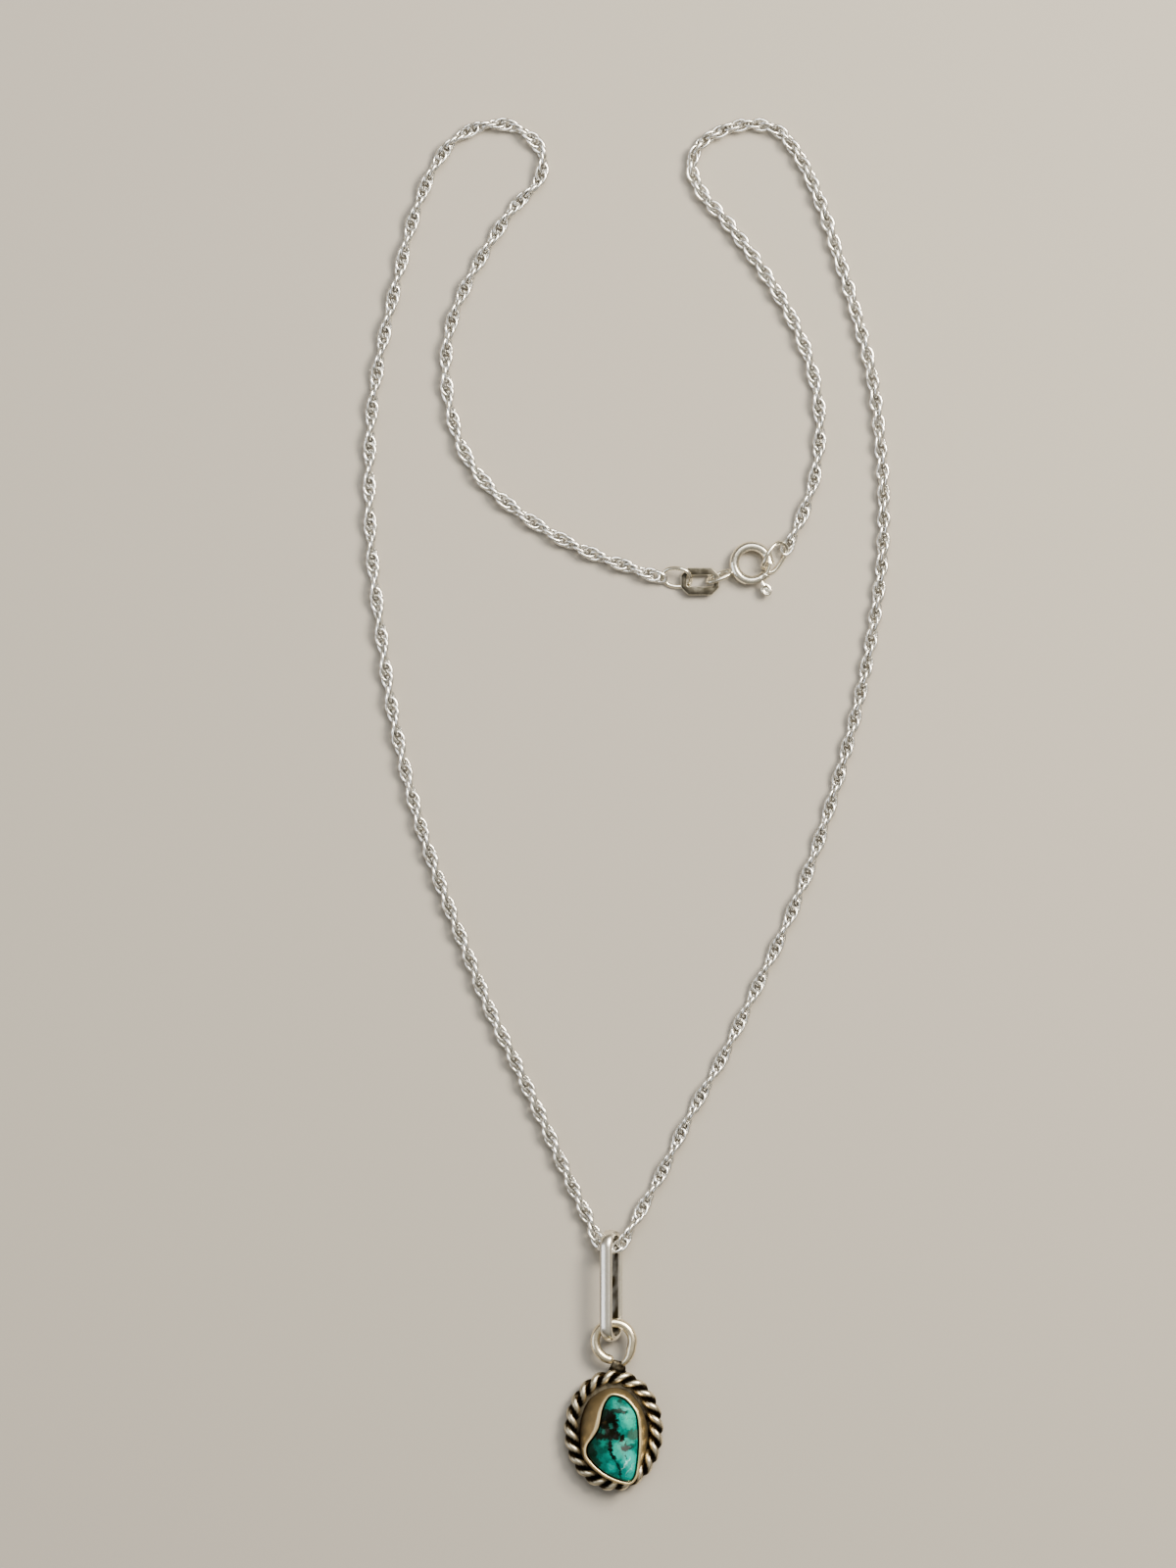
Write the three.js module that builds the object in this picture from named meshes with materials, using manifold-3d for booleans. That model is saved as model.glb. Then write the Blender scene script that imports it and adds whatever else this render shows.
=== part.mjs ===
/**
 * Turquoise necklace: a drop in a rope-bordered silver setting, on a long bail and a rope chain with a
 * spring ring clasp. It lies flat with the clasp closed.
 *
 * Millimetres, +Z up. The surface it lies on is Z = 0, the origin is under the middle of its bounding
 * box, +Y runs from the drop to the clasp end. Soldered silver is one solid; linked pieces keep a gap.
 */
import * as THREE from 'three';
import { mergeVertices } from 'three/addons/utils/BufferGeometryUtils.js';
import Module from 'manifold-3d';

const wasm = await Module();
wasm.setup();

const { degToRad, lerp } = THREE.MathUtils;
const UP = new THREE.Vector3(0, 0, 1);

// ---------------------------------------------------------------- driving dimensions

const CHAIN_RADIUS = 0.94;            // half the width of the rope chain's links
const CHAIN_SIDES = 8;

const PENDANT = { x: -1.6, y: -77.9 };  // middle of the setting
const PLATE = { halfWidth: 5.45, halfLength: 6.85, thickness: 0.8 };
const ROPE = {
  halfWidth: 5.31,                    // ellipse that the twisted border follows
  halfLength: 6.69,
  centreZ: 1.48,
  strandRadius: 0.5,
  twistRadius: 0.42,                  // strand centre to rope centre
  lobes: 21,                          // half turns of the twist in one lap
  overlap: 0.012,                     // share of a lap that each strand runs on past its start
};
const BEZEL = {
  rimZ: 3.9, footZ: 0.6, wall: 0.35, floorZ: 1.0,
  lipDepth: 0.5, lipShare: 0.12,      // just under the rim the wall has leant out by this share
};
const STONE = {
  clearance: 0.12, shoulderZ: 3.65, dome: 0.95,
  crownX: 0.5, crownY: -1.0,          // the sections shrink towards this place
  swellRise: 2.2,                     // how fast the swells rise from the edge
};

const LOOP = {                        // open ring of round wire, soldered on the setting
  x: -1.6, y: -66.8, z: 1.9, radius: 2.32, wire: 0.58,
  from: -50, to: 266, step: 15.8,     // degrees of the round part
  tail: [[-0.55, -70.3, 1.75], [-0.25, -69.45, 1.85]],
};
const SOLDER = { x: -1.3, y: -69.85, z: 1.6, halfWidth: 1.15, halfLength: 1.0, halfHeight: 0.85 };

const BAIL = {
  middleY: -59.87,
  length: 14.0,                       // over the outside
  barGap: 3.45,                       // between the middles of the two long sides
  width: 1.3,
  thickness: 0.75,
  lean: 20,                           // degrees that the front side leans to -X
  backX: -1.33,
  backZ: 0.38,
  crownOffset: 0.1,                   // the wire is widest this far outside its flat face
};

const SPRING_RING = { x: 15.54, y: 29.88, z: 1.2, radius: 2.15, tube: 0.6 };
const MOUTH = {
  upper: -4, lower: -36,              // degrees, the two ends of the opening
  flareAngle: 16,                     // reach of the flare back from the opening
  overrun: 4,                         // how far tube and flares run out before the opening is cut
  rootRadius: 0.55, flareRadius: 0.72, flareShift: 0.16,
};
const BORE = { radius: 2.2, tube: 0.4, socketEnd: 8, deepEnd: -120 };
const SLOT = { from: -54.5, to: -105.4, halfHeight: 0.35 };
const BOLT = { tube: 0.27, tip: 2, tail: -78 };
const LEVER = {
  angle: -61,                         // degrees round the ring, where the lever stands at rest
  stemWidth: 0.4, stemHeight: 0.45, stemOverlap: 0.3,
  inner: 2.92, outer: 4.66,           // reach of the thumb tab from the ring's middle
  neckHalfWidth: 0.32, halfWidth: 0.64, neckLength: 0.5,
  thickness: 0.5, edgeRound: 0.08,
  dimpleRadius: 0.7, dimpleDepth: 0.12,
};

const EYE = { x: 11.55, y: 28.25, z: 1.12, halfLength: 1.62, halfHeight: 0.84, wire: 0.29, lean: 25 };
const TAG = {
  left: 6.72, right: 11.54, bottom: 25.93, top: 29.34, chamfer: 0.75,
  holeLeft: 7.52, holeRight: 10.75, holeBottom: 27.02, holeTop: 28.4,
  bottomZ: 0.86, thickness: 0.28,
};
const END_RING_WIRE = 0.225;

// ---------------------------------------------------------------- routes, chosen by hand [x, y, z]

// From under the bail, up the left side, round the left lobe and back to the clasp.
const CHAIN_LEFT = [
  [-2.32, -55.2, 2.08], [-2.62, -55.19, 2.04], [-3.1, -54.9, 1.85], [-3.55, -54.3, 1.6],
  [-4.4, -52.4, 1.2], [-5.1, -50.9, 1.0], [-7.0, -47.0, 0.94], [-10.5, -39.2, 0.94],
  [-13.6, -32.6, 0.94], [-16.9, -25.8, 0.94], [-20.1, -17.8, 0.94], [-23.0, -10.4, 0.94],
  [-25.7, -2.4, 0.94], [-27.7, 5.0, 0.94], [-29.4, 13.2, 0.94], [-30.6, 21.7, 0.94],
  [-31.6, 30.2, 0.94], [-32.0, 39.1, 0.94], [-31.7, 48.6, 0.94], [-30.5, 56.5, 0.94],
  [-28.5, 65.2, 0.94], [-26.5, 72.8, 0.94], [-23.9, 79.2, 0.94], [-21.3, 82.6, 0.94],
  [-18.2, 84.2, 0.94], [-15.3, 84.5, 0.94], [-12.7, 83.5, 0.94], [-10.9, 81.7, 0.94],
  [-10.4, 79.4, 0.94], [-11.2, 77.1, 0.94], [-14.1, 74.0, 0.94], [-17.4, 69.0, 0.94],
  [-20.2, 63.9, 0.94], [-21.9, 59.3, 0.94], [-22.5, 54.3, 0.94], [-21.9, 49.0, 0.94],
  [-20.2, 43.8, 0.94], [-17.0, 39.3, 0.94], [-12.0, 35.3, 0.94], [-5.9, 31.8, 0.94],
  [0.1, 29.5, 0.94], [3.9, 28.2, 0.94],
];

// From under the bail, up the right side, round the right lobe and back to the clasp.
const CHAIN_RIGHT = [
  [-2.0, -55.2, 2.12], [-1.7, -55.19, 2.16], [-1.1, -55.02, 2.25], [-0.5, -54.55, 2.2],
  [0.1, -53.6, 2.0], [0.9, -52.2, 1.55], [1.9, -50.4, 1.1], [4.4, -45.9, 0.94],
  [7.9, -38.8, 0.94], [12.1, -31.3, 0.94], [15.8, -23.7, 0.94], [19.6, -15.7, 0.94],
  [22.3, -9.2, 0.94], [24.8, -2.0, 0.94], [27.1, 5.8, 0.94], [29.3, 14.5, 0.94],
  [30.7, 22.1, 0.94], [31.7, 29.3, 0.94], [32.0, 37.2, 0.94], [31.6, 44.5, 0.94],
  [30.6, 52.8, 0.94], [28.8, 60.1, 0.94], [26.6, 67.3, 0.94], [23.8, 75.6, 0.94],
  [21.4, 80.6, 0.94], [18.8, 83.7, 0.94], [15.6, 84.5, 0.94], [11.9, 83.7, 0.94],
  [9.2, 82.0, 0.94], [8.1, 79.3, 0.94], [9.3, 76.1, 0.94], [12.6, 72.2, 0.94],
  [16.7, 66.7, 0.94], [20.4, 60.7, 0.94], [22.8, 54.9, 0.94], [23.9, 49.7, 0.94],
  [24.0, 44.9, 0.94], [23.1, 39.4, 0.94], [21.2, 34.3, 0.94], [20.3, 32.5, 0.94],
];

// Small jump rings as they lie, propped on their neighbours.
const END_RING_LEFT = [
  [7.92, 28.24, 1.55], [7.95, 27.82, 1.1], [7.81, 27.38, 0.65], [7.33, 27.08, 0.36],
  [6.66, 27.01, 0.26], [5.87, 27.06, 0.24], [5.14, 27.3, 0.26], [4.68, 27.79, 0.42],
  [4.54, 28.36, 0.75], [4.77, 28.91, 1.15], [5.38, 29.22, 1.5], [6.23, 29.24, 1.8],
  [7.03, 29.1, 1.95], [7.61, 28.73, 1.85],
];
const END_RING_RIGHT = [
  [16.95, 29.6, 1.7], [16.95, 29.37, 1.15], [17.22, 29.25, 0.55], [17.75, 28.82, 0.27],
  [18.25, 28.9, 0.25], [18.8, 29.46, 0.26], [19.41, 30.32, 0.34], [19.91, 31.29, 0.62],
  [19.87, 31.96, 0.95], [19.41, 32.35, 1.35], [18.84, 32.42, 1.75], [18.29, 32.05, 2.1],
  [17.8, 31.44, 2.3], [17.37, 30.68, 2.32], [17.14, 30.13, 2.15],
];

// Outline of the bezel about the middle of the setting: its rim, and where its foot meets the plate.
const BEZEL_OUTLINE = [
  { rimX: 0.0, rimY: 4.78, footX: 0.11, footY: 5.26 },
  { rimX: 1.42, rimY: 4.34, footX: 1.6, footY: 4.9 },
  { rimX: 2.5, rimY: 3.25, footX: 2.75, footY: 3.85 },
  { rimX: 3.08, rimY: 2.2, footX: 3.65, footY: 2.4 },
  { rimX: 3.38, rimY: -0.9, footX: 4.35, footY: -0.6 },
  { rimX: 3.15, rimY: -4.15, footX: 3.65, footY: -3.95 },
  { rimX: 2.83, rimY: -5.68, footX: 3.0, footY: -5.7 },
  { rimX: 2.15, rimY: -6.45, footX: 2.3, footY: -6.65 },
  { rimX: 1.2, rimY: -6.45, footX: 1.0, footY: -6.75 },
  { rimX: -1.4, rimY: -5.35, footX: -1.7, footY: -5.7 },
  { rimX: -3.48, rimY: -3.3, footX: -3.85, footY: -3.6 },
  { rimX: -3.7, rimY: -2.3, footX: -4.15, footY: -2.5 },
  { rimX: -3.48, rimY: -1.43, footX: -4.25, footY: -1.3 },
  { rimX: -2.83, rimY: -0.56, footX: -4.25, footY: 0.1 },
  { rimX: -2.18, rimY: 0.53, footX: -4.05, footY: 1.6 },
  { rimX: -1.73, rimY: 2.7, footX: -3.2, footY: 3.6 },
  { rimX: -1.3, rimY: 3.8, footX: -2.2, footY: 4.45 },
  { rimX: -0.65, rimY: 4.6, footX: -1.1, footY: 5.05 },
];

// Swells (+) and hollows (-) of the nugget's top, about the middle of the setting.
const STONE_SWELLS = [
  { x: -0.3, y: 3.2, height: 0.55, spread: 1.4 },
  { x: 1.9, y: 1.6, height: 0.6, spread: 1.2 },
  { x: -0.5, y: 0.6, height: -0.45, spread: 0.9 },
  { x: 1.6, y: -0.9, height: -0.35, spread: 0.8 },
  { x: -0.6, y: -3.0, height: 0.5, spread: 1.7 },
  { x: 1.6, y: -4.1, height: 0.7, spread: 1.5 },
];

// ---------------------------------------------------------------- curves and sections

/** A smooth curve whose even stations fall on its own control points. */
class StationCurve extends THREE.CatmullRomCurve3 {
  constructor(points) {
    super(points.map((point) => new THREE.Vector3(...point)), false, 'centripetal');
  }

  getUtoTmapping(u) {
    return u;
  }
}

/** A level circular arc between two angles in degrees. */
class LevelArc extends THREE.Curve {
  constructor(centre, radius, from, to) {
    super();
    Object.assign(this, { centre, radius, from, to });
  }

  getPoint(t, target = new THREE.Vector3()) {
    const angle = degToRad(lerp(this.from, this.to, t));
    return target.set(
      this.centre.x + this.radius * Math.cos(angle),
      this.centre.y + this.radius * Math.sin(angle),
      this.centre.z,
    );
  }
}

/** A closed ellipse about a centre, along two axis vectors. */
class AxisEllipse extends THREE.Curve {
  constructor(centre, firstAxis, secondAxis) {
    super();
    Object.assign(this, { centre, firstAxis, secondAxis });
  }

  getPoint(t, target = new THREE.Vector3()) {
    const angle = 2 * Math.PI * t;
    return target.copy(this.centre)
      .addScaledVector(this.firstAxis, Math.cos(angle))
      .addScaledVector(this.secondAxis, Math.sin(angle));
  }
}

/** One strand of the border, from one end of its lap to a little past it. */
class StrandCurve extends THREE.Curve {
  constructor(phase) {
    super();
    this.phase = phase;
    this.ellipse = new THREE.EllipseCurve(0, 0, ROPE.halfWidth, ROPE.halfLength, Math.PI / 2,
      Math.PI / 2 + 2 * Math.PI);
  }

  getPoint(t, target = new THREE.Vector3()) {
    const along = (1 + ROPE.overlap) * t;
    const middle = this.ellipse.getPointAt(along % 1);
    const tangent = this.ellipse.getTangentAt(along % 1);
    const turn = Math.PI * ROPE.lobes * along + this.phase;
    const outward = ROPE.twistRadius * Math.cos(turn);
    return target.set(
      PENDANT.x + middle.x + tangent.y * outward,
      PENDANT.y + middle.y - tangent.x * outward,
      ROPE.centreZ + ROPE.twistRadius * Math.sin(turn),
    );
  }
}

/** A regular polygon inside a circle, with a flat side down where its curve lies level. */
function polygonSection(radius, sides) {
  const corners = Array.from({ length: sides }, (_, corner) => {
    const angle = 2 * Math.PI * (corner + 0.5) / sides;
    return new THREE.Vector2(radius * Math.cos(angle), radius * Math.sin(angle));
  });
  return new THREE.Shape(corners);
}

/** A rectangle across a level curve: half its height, and its reach to the right and left of travel. */
function slotSection(halfHeight, right, left) {
  return new THREE.Shape([
    new THREE.Vector2(-halfHeight, -right), new THREE.Vector2(halfHeight, -right),
    new THREE.Vector2(halfHeight, left), new THREE.Vector2(-halfHeight, left),
  ]);
}

/** A rod of a section along an open curve. */
function rod(curve, section, steps) {
  return new THREE.ExtrudeGeometry(section, { steps, bevelEnabled: false, extrudePath: curve });
}

/** A ring of round wire along a closed curve. */
function wireRing(curve, segments, radius, sides) {
  return new THREE.TubeGeometry(curve, segments, radius, sides, true);
}

// ---------------------------------------------------------------- solids

/** The closed mesh alone: positions, with shared vertices merged. */
function weld(geometry) {
  geometry.deleteAttribute('normal');
  geometry.deleteAttribute('uv');
  return mergeVertices(geometry);
}

/** A geometry as a solid that can be joined and cut. */
function solidOf(geometry) {
  const welded = weld(geometry);
  return new wasm.Manifold(new wasm.Mesh({
    numProp: 3,
    vertProperties: new Float32Array(welded.attributes.position.array),
    triVerts: new Uint32Array(welded.index.array),
  }));
}

/** A solid as a geometry. */
function geometryOf(solid) {
  const { vertProperties, triVerts } = solid.getMesh();
  const geometry = new THREE.BufferGeometry();
  geometry.setAttribute('position', new THREE.BufferAttribute(vertProperties, 3));
  geometry.setIndex(new THREE.BufferAttribute(triVerts, 1));
  return geometry;
}

/** Several solids joined into one. */
function joined(...solids) {
  return solids.reduce((all, solid) => all.add(solid));
}

/**
 * A closed solid through level sections of equal point counts, lowest first. Each section is a list of
 * Vector3, counter-clockwise from above; the first is closed with a floor and the last with a roof.
 */
function loft(sections) {
  const count = sections[0].length;
  const positions = sections.flat().flatMap((point) => point.toArray());
  const index = [];
  for (let level = 0; level + 1 < sections.length; level += 1) {
    for (let i = 0; i < count; i += 1) {
      const a = level * count + i;
      const b = level * count + (i + 1) % count;
      index.push(a, b, b + count, a, b + count, a + count);
    }
  }
  const flat = (section) => section.map((point) => new THREE.Vector2(point.x, point.y));
  const roof = (sections.length - 1) * count;
  for (const [a, b, c] of THREE.ShapeUtils.triangulateShape(flat(sections[0]), [])) {
    index.push(c, b, a);
  }
  for (const [a, b, c] of THREE.ShapeUtils.triangulateShape(flat(sections.at(-1)), [])) {
    index.push(roof + a, roof + b, roof + c);
  }
  const geometry = new THREE.BufferGeometry();
  geometry.setAttribute('position', new THREE.Float32BufferAttribute(positions, 3));
  geometry.setIndex(index);
  return geometry;
}

// ---------------------------------------------------------------- chain and end rings

function chainGeometry(route) {
  return rod(new StationCurve(route), polygonSection(CHAIN_RADIUS, CHAIN_SIDES), route.length - 1);
}

function endRingGeometry(points) {
  const curve = new THREE.CatmullRomCurve3(points.map((point) => new THREE.Vector3(...point)), true);
  return wireRing(curve, 36, END_RING_WIRE, 6);
}

// ---------------------------------------------------------------- clasp

/** A round bar on an arc about the middle of the spring ring. */
function ringArc(radius, tube, from, to, sides = 12) {
  const steps = Math.ceil(Math.abs(to - from) / 9);
  return solidOf(rod(new LevelArc(SPRING_RING, radius, from, to), polygonSection(tube, sides), steps));
}

function ringPoint(radius, angle) {
  return new LevelArc(SPRING_RING, radius, angle, angle).getPoint(0);
}

/** The tube's end, widened as a cone; away is +1 or -1, the way from the mouth into the tube. */
function flaredMouth(mouthAngle, away) {
  const root = ringPoint(SPRING_RING.radius, mouthAngle + away * MOUTH.flareAngle);
  const mouth = ringPoint(SPRING_RING.radius + MOUTH.flareShift, mouthAngle - away * MOUTH.overrun);
  const axis = mouth.clone().sub(root);
  const cone = new THREE.CylinderGeometry(MOUTH.flareRadius, MOUTH.rootRadius, axis.length(), 14);
  cone.applyQuaternion(new THREE.Quaternion().setFromUnitVectors(
    new THREE.Vector3(0, 1, 0), axis.clone().normalize()));
  const middle = root.add(mouth).multiplyScalar(0.5);
  return solidOf(cone.translate(middle.x, middle.y, middle.z));
}

/** The wedge between the two mouths. */
function openingSolid() {
  const reach = SPRING_RING.radius + 2;
  const corner = (angle) => new THREE.Vector2(reach, 0).rotateAround(
    new THREE.Vector2(), degToRad(angle));
  const wedge = new THREE.Shape([new THREE.Vector2(), corner(MOUTH.lower), corner(MOUTH.upper)]);
  const prism = new THREE.ExtrudeGeometry(wedge, { depth: 3, bevelEnabled: false })
    .translate(SPRING_RING.x, SPRING_RING.y, SPRING_RING.z - 1.5);
  return solidOf(prism);
}

/** The loop of wire at the back of the spring ring, leaning a little, that holds the tag link. */
function eyeSolid() {
  const centre = new THREE.Vector3(EYE.x, EYE.y, EYE.z);
  const away = new THREE.Vector3(EYE.x - SPRING_RING.x, EYE.y - SPRING_RING.y, 0).normalize();
  const across = new THREE.Vector3(-away.y, away.x, 0);
  const lean = degToRad(EYE.lean);
  const height = across.multiplyScalar(Math.sin(lean)).addScaledVector(UP, Math.cos(lean));
  const curve = new AxisEllipse(centre, away.multiplyScalar(EYE.halfLength),
    height.multiplyScalar(EYE.halfHeight));
  return solidOf(wireRing(curve, 28, EYE.wire, 8));
}

function springRingGeometry() {
  const tube = ringArc(SPRING_RING.radius, SPRING_RING.tube,
    MOUTH.upper - MOUTH.overrun, MOUTH.lower + MOUTH.overrun + 360);
  const shell = joined(
    tube,
    flaredMouth(MOUTH.upper, 1),
    flaredMouth(MOUTH.lower, -1),
    eyeSolid(),
  ).subtract(openingSolid());
  const reach = 10;                   // degrees that the bore's cutters run out into the opening
  const socket = ringArc(BORE.radius, BORE.tube, MOUTH.upper - reach, BORE.socketEnd);
  const deep = ringArc(BORE.radius, BORE.tube, MOUTH.lower + reach, BORE.deepEnd);
  const slotCurve = new LevelArc(SPRING_RING, BORE.radius, SLOT.to, SLOT.from);
  const slot = solidOf(rod(slotCurve, slotSection(SLOT.halfHeight, 1, 0), 8));
  return geometryOf(shell.subtract(joined(socket, deep, slot)));
}

/** The sliding bolt with its stem and the thumb lever. */
function triggerGeometry() {
  const bolt = ringArc(BORE.radius, BOLT.tube, BOLT.tip, BOLT.tail, 10);

  const stemLength = LEVER.inner + LEVER.stemOverlap - BORE.radius;
  const stem = new THREE.BoxGeometry(stemLength, LEVER.stemWidth, LEVER.stemHeight)
    .translate(BORE.radius + stemLength / 2, 0, 0);

  const { inner, outer, halfWidth, neckHalfWidth, neckLength, edgeRound } = LEVER;
  const outline = new THREE.Shape();
  outline.moveTo(inner, -neckHalfWidth);
  outline.lineTo(inner + neckLength, -halfWidth);
  outline.lineTo(outer - halfWidth, -halfWidth);
  outline.absarc(outer - halfWidth, 0, halfWidth, -Math.PI / 2, Math.PI / 2, false);
  outline.lineTo(inner + neckLength, halfWidth);
  outline.lineTo(inner, neckHalfWidth);
  outline.closePath();
  const tab = new THREE.ExtrudeGeometry(outline, {
    depth: LEVER.thickness - 2 * edgeRound, curveSegments: 8,
    bevelThickness: edgeRound, bevelSize: edgeRound, bevelOffset: -edgeRound, bevelSegments: 1,
  }).translate(0, 0, edgeRound - LEVER.thickness / 2);
  const dimple = new THREE.SphereGeometry(LEVER.dimpleRadius, 12, 8)
    .translate(outer - halfWidth, 0, LEVER.thickness / 2 + LEVER.dimpleRadius - LEVER.dimpleDepth);

  const lever = joined(solidOf(stem), solidOf(tab)).subtract(solidOf(dimple));
  const placed = geometryOf(lever)
    .rotateZ(degToRad(LEVER.angle))
    .translate(SPRING_RING.x, SPRING_RING.y, SPRING_RING.z);
  return geometryOf(bolt.add(solidOf(placed)));
}

/** A flat link with cut corners and a long hole. */
function tagGeometry() {
  const { left, right, bottom, top, chamfer } = TAG;
  const outline = new THREE.Shape([
    new THREE.Vector2(left + chamfer, bottom), new THREE.Vector2(right - chamfer, bottom),
    new THREE.Vector2(right, bottom + chamfer), new THREE.Vector2(right, top - chamfer),
    new THREE.Vector2(right - chamfer, top), new THREE.Vector2(left + chamfer, top),
    new THREE.Vector2(left, top - chamfer), new THREE.Vector2(left, bottom + chamfer),
  ]);
  outline.holes.push(new THREE.Path([
    new THREE.Vector2(TAG.holeLeft, TAG.holeBottom), new THREE.Vector2(TAG.holeLeft, TAG.holeTop),
    new THREE.Vector2(TAG.holeRight, TAG.holeTop), new THREE.Vector2(TAG.holeRight, TAG.holeBottom),
  ]));
  return new THREE.ExtrudeGeometry(outline, { depth: TAG.thickness, bevelEnabled: false })
    .translate(0, 0, TAG.bottomZ);
}

// ---------------------------------------------------------------- bail

/** A stadium about the origin: straight sides joined by half circles. */
function stadium(length, height) {
  const radius = height / 2;
  const straight = length / 2 - radius;
  const outline = new THREE.Shape();
  outline.moveTo(-straight, -radius);
  outline.lineTo(straight, -radius);
  outline.absarc(straight, 0, radius, -Math.PI / 2, Math.PI / 2, false);
  outline.lineTo(-straight, radius);
  outline.absarc(-straight, 0, radius, Math.PI / 2, 1.5 * Math.PI, false);
  return outline;
}

/** A long closed loop of half-round wire with its flat inside, standing on edge and leaning. */
function bailGeometry() {
  const { length, barGap, width, thickness, crownOffset } = BAIL;
  const path = stadium(length - 2 * (thickness - crownOffset), barGap - thickness + 2 * crownOffset);
  const curve = new THREE.CatmullRomCurve3(
    path.getSpacedPoints(56).slice(0, -1).map((point) => new THREE.Vector3(point.x, point.y, 0)), true);
  const round = thickness - crownOffset;
  const wire = wireRing(curve, 56, round, 12).scale(1, 1, width / (2 * round));
  const inside = new THREE.ExtrudeGeometry(
    stadium(length - 2 * thickness, barGap - thickness),
    { depth: 2 * width, bevelEnabled: false, curveSegments: 12 },
  ).translate(0, 0, -width);
  const flat = geometryOf(solidOf(wire).subtract(solidOf(inside)));

  // The loop's length lies along Y, its height leans from +Z to -X.
  const lean = degToRad(BAIL.lean);
  const along = new THREE.Vector3(0, 1, 0);
  const height = new THREE.Vector3(-Math.sin(lean), 0, Math.cos(lean));
  const side = along.clone().cross(height);
  const centre = new THREE.Vector3(BAIL.backX, BAIL.middleY, BAIL.backZ)
    .addScaledVector(height, barGap / 2);
  return flat.applyMatrix4(new THREE.Matrix4().makeBasis(along, height, side).setPosition(centre));
}

// ---------------------------------------------------------------- setting and stone

/** Even points round the bezel, counter-clockwise, from its rim (share 0) to its foot (share 1). */
function bezelOutline(share, count) {
  const curve = new THREE.CatmullRomCurve3(BEZEL_OUTLINE.map((row) => new THREE.Vector3(
    lerp(row.rimX, row.footX, share), lerp(row.rimY, row.footY, share), 0)).reverse(), true);
  return Array.from({ length: count }, (_, i) => curve.getPoint(i / count));
}

/** A closed outline moved inwards by a distance. */
function inset(outline, distance) {
  return outline.map((point, i) => {
    const before = outline.at(i - 1);
    const after = outline[(i + 1) % outline.length];
    const inwards = new THREE.Vector3(before.y - after.y, after.x - before.x, 0).normalize();
    return point.clone().addScaledVector(inwards, distance);
  });
}

/** An outline about the middle of the setting, put in place at a height. */
function atHeight(outline, z) {
  return outline.map((point) => new THREE.Vector3(point.x + PENDANT.x, point.y + PENDANT.y, z));
}

/** The round wire that rises from the border, makes a ring and ends beside itself. */
function loopSolid() {
  const ring = [];
  for (let angle = LOOP.from; angle <= LOOP.to; angle += LOOP.step) {
    ring.push([
      LOOP.x + LOOP.radius * Math.cos(degToRad(angle)),
      LOOP.y + LOOP.radius * Math.sin(degToRad(angle)),
      LOOP.z,
    ]);
  }
  const route = [...LOOP.tail, ...ring];
  return solidOf(rod(new StationCurve(route), polygonSection(LOOP.wire, 10), route.length - 1));
}

function ellipsePlate() {
  const outline = new THREE.Shape();
  outline.absellipse(PENDANT.x, PENDANT.y, PLATE.halfWidth, PLATE.halfLength, 0, 2 * Math.PI);
  return new THREE.ExtrudeGeometry(outline, {
    depth: PLATE.thickness, bevelEnabled: false, curveSegments: 48,
  });
}

function solderSolid() {
  const blob = new THREE.SphereGeometry(1, 12, 8)
    .scale(SOLDER.halfWidth, SOLDER.halfLength, SOLDER.halfHeight)
    .translate(SOLDER.x, SOLDER.y, SOLDER.z);
  return solidOf(blob);
}

function settingGeometry() {
  const points = 60;
  const strandSteps = Math.round(ROPE.lobes / 2 * 9);
  const strands = [0, Math.PI].map((phase) => solidOf(
    rod(new StrandCurve(phase), polygonSection(ROPE.strandRadius, 7), strandSteps)));
  const rim = bezelOutline(0, points);
  const bezel = solidOf(loft([
    atHeight(bezelOutline(1, points), BEZEL.footZ),
    atHeight(bezelOutline(BEZEL.lipShare, points), BEZEL.rimZ - BEZEL.lipDepth),
    atHeight(rim, BEZEL.rimZ),
  ]));
  const hollow = inset(rim, BEZEL.wall);
  const cavity = solidOf(loft([
    atHeight(hollow, BEZEL.floorZ),
    atHeight(hollow, BEZEL.rimZ + 1),
  ]));
  const silver = joined(solidOf(ellipsePlate()), ...strands, bezel, loopSolid(), solderSolid());
  return geometryOf(silver.subtract(cavity));
}

/** Height of the nugget's top over a place on the setting. */
function stoneTop(x, y, towardsCrown) {
  const dome = STONE.dome * Math.sqrt(1 - (1 - towardsCrown) ** 2);
  const lumps = STONE_SWELLS.reduce((sum, swell) => {
    const apart = Math.hypot(x - swell.x, y - swell.y) / swell.spread;
    return sum + swell.height * Math.exp(-apart * apart);
  }, 0);
  return STONE.shoulderZ + dome + lumps * Math.min(1, STONE.swellRise * towardsCrown);
}

/** The tumbled nugget: upright sides in the bezel and a lumpy crown. */
function stoneGeometry() {
  const points = 48;
  const edge = inset(bezelOutline(0, points), BEZEL.wall + STONE.clearance);
  const crown = new THREE.Vector3(STONE.crownX, STONE.crownY, 0);
  const rings = [0, 0.06, 0.16, 0.3, 0.46, 0.64, 0.82].map((share) => edge.map((point) => {
    const place = point.clone().lerp(crown, share);
    return new THREE.Vector3(
      place.x + PENDANT.x, place.y + PENDANT.y, stoneTop(place.x, place.y, share));
  }));
  const floor = atHeight(edge, BEZEL.floorZ + STONE.clearance);
  return loft([floor, ...rings]);
}

// ---------------------------------------------------------------- assembly

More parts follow.
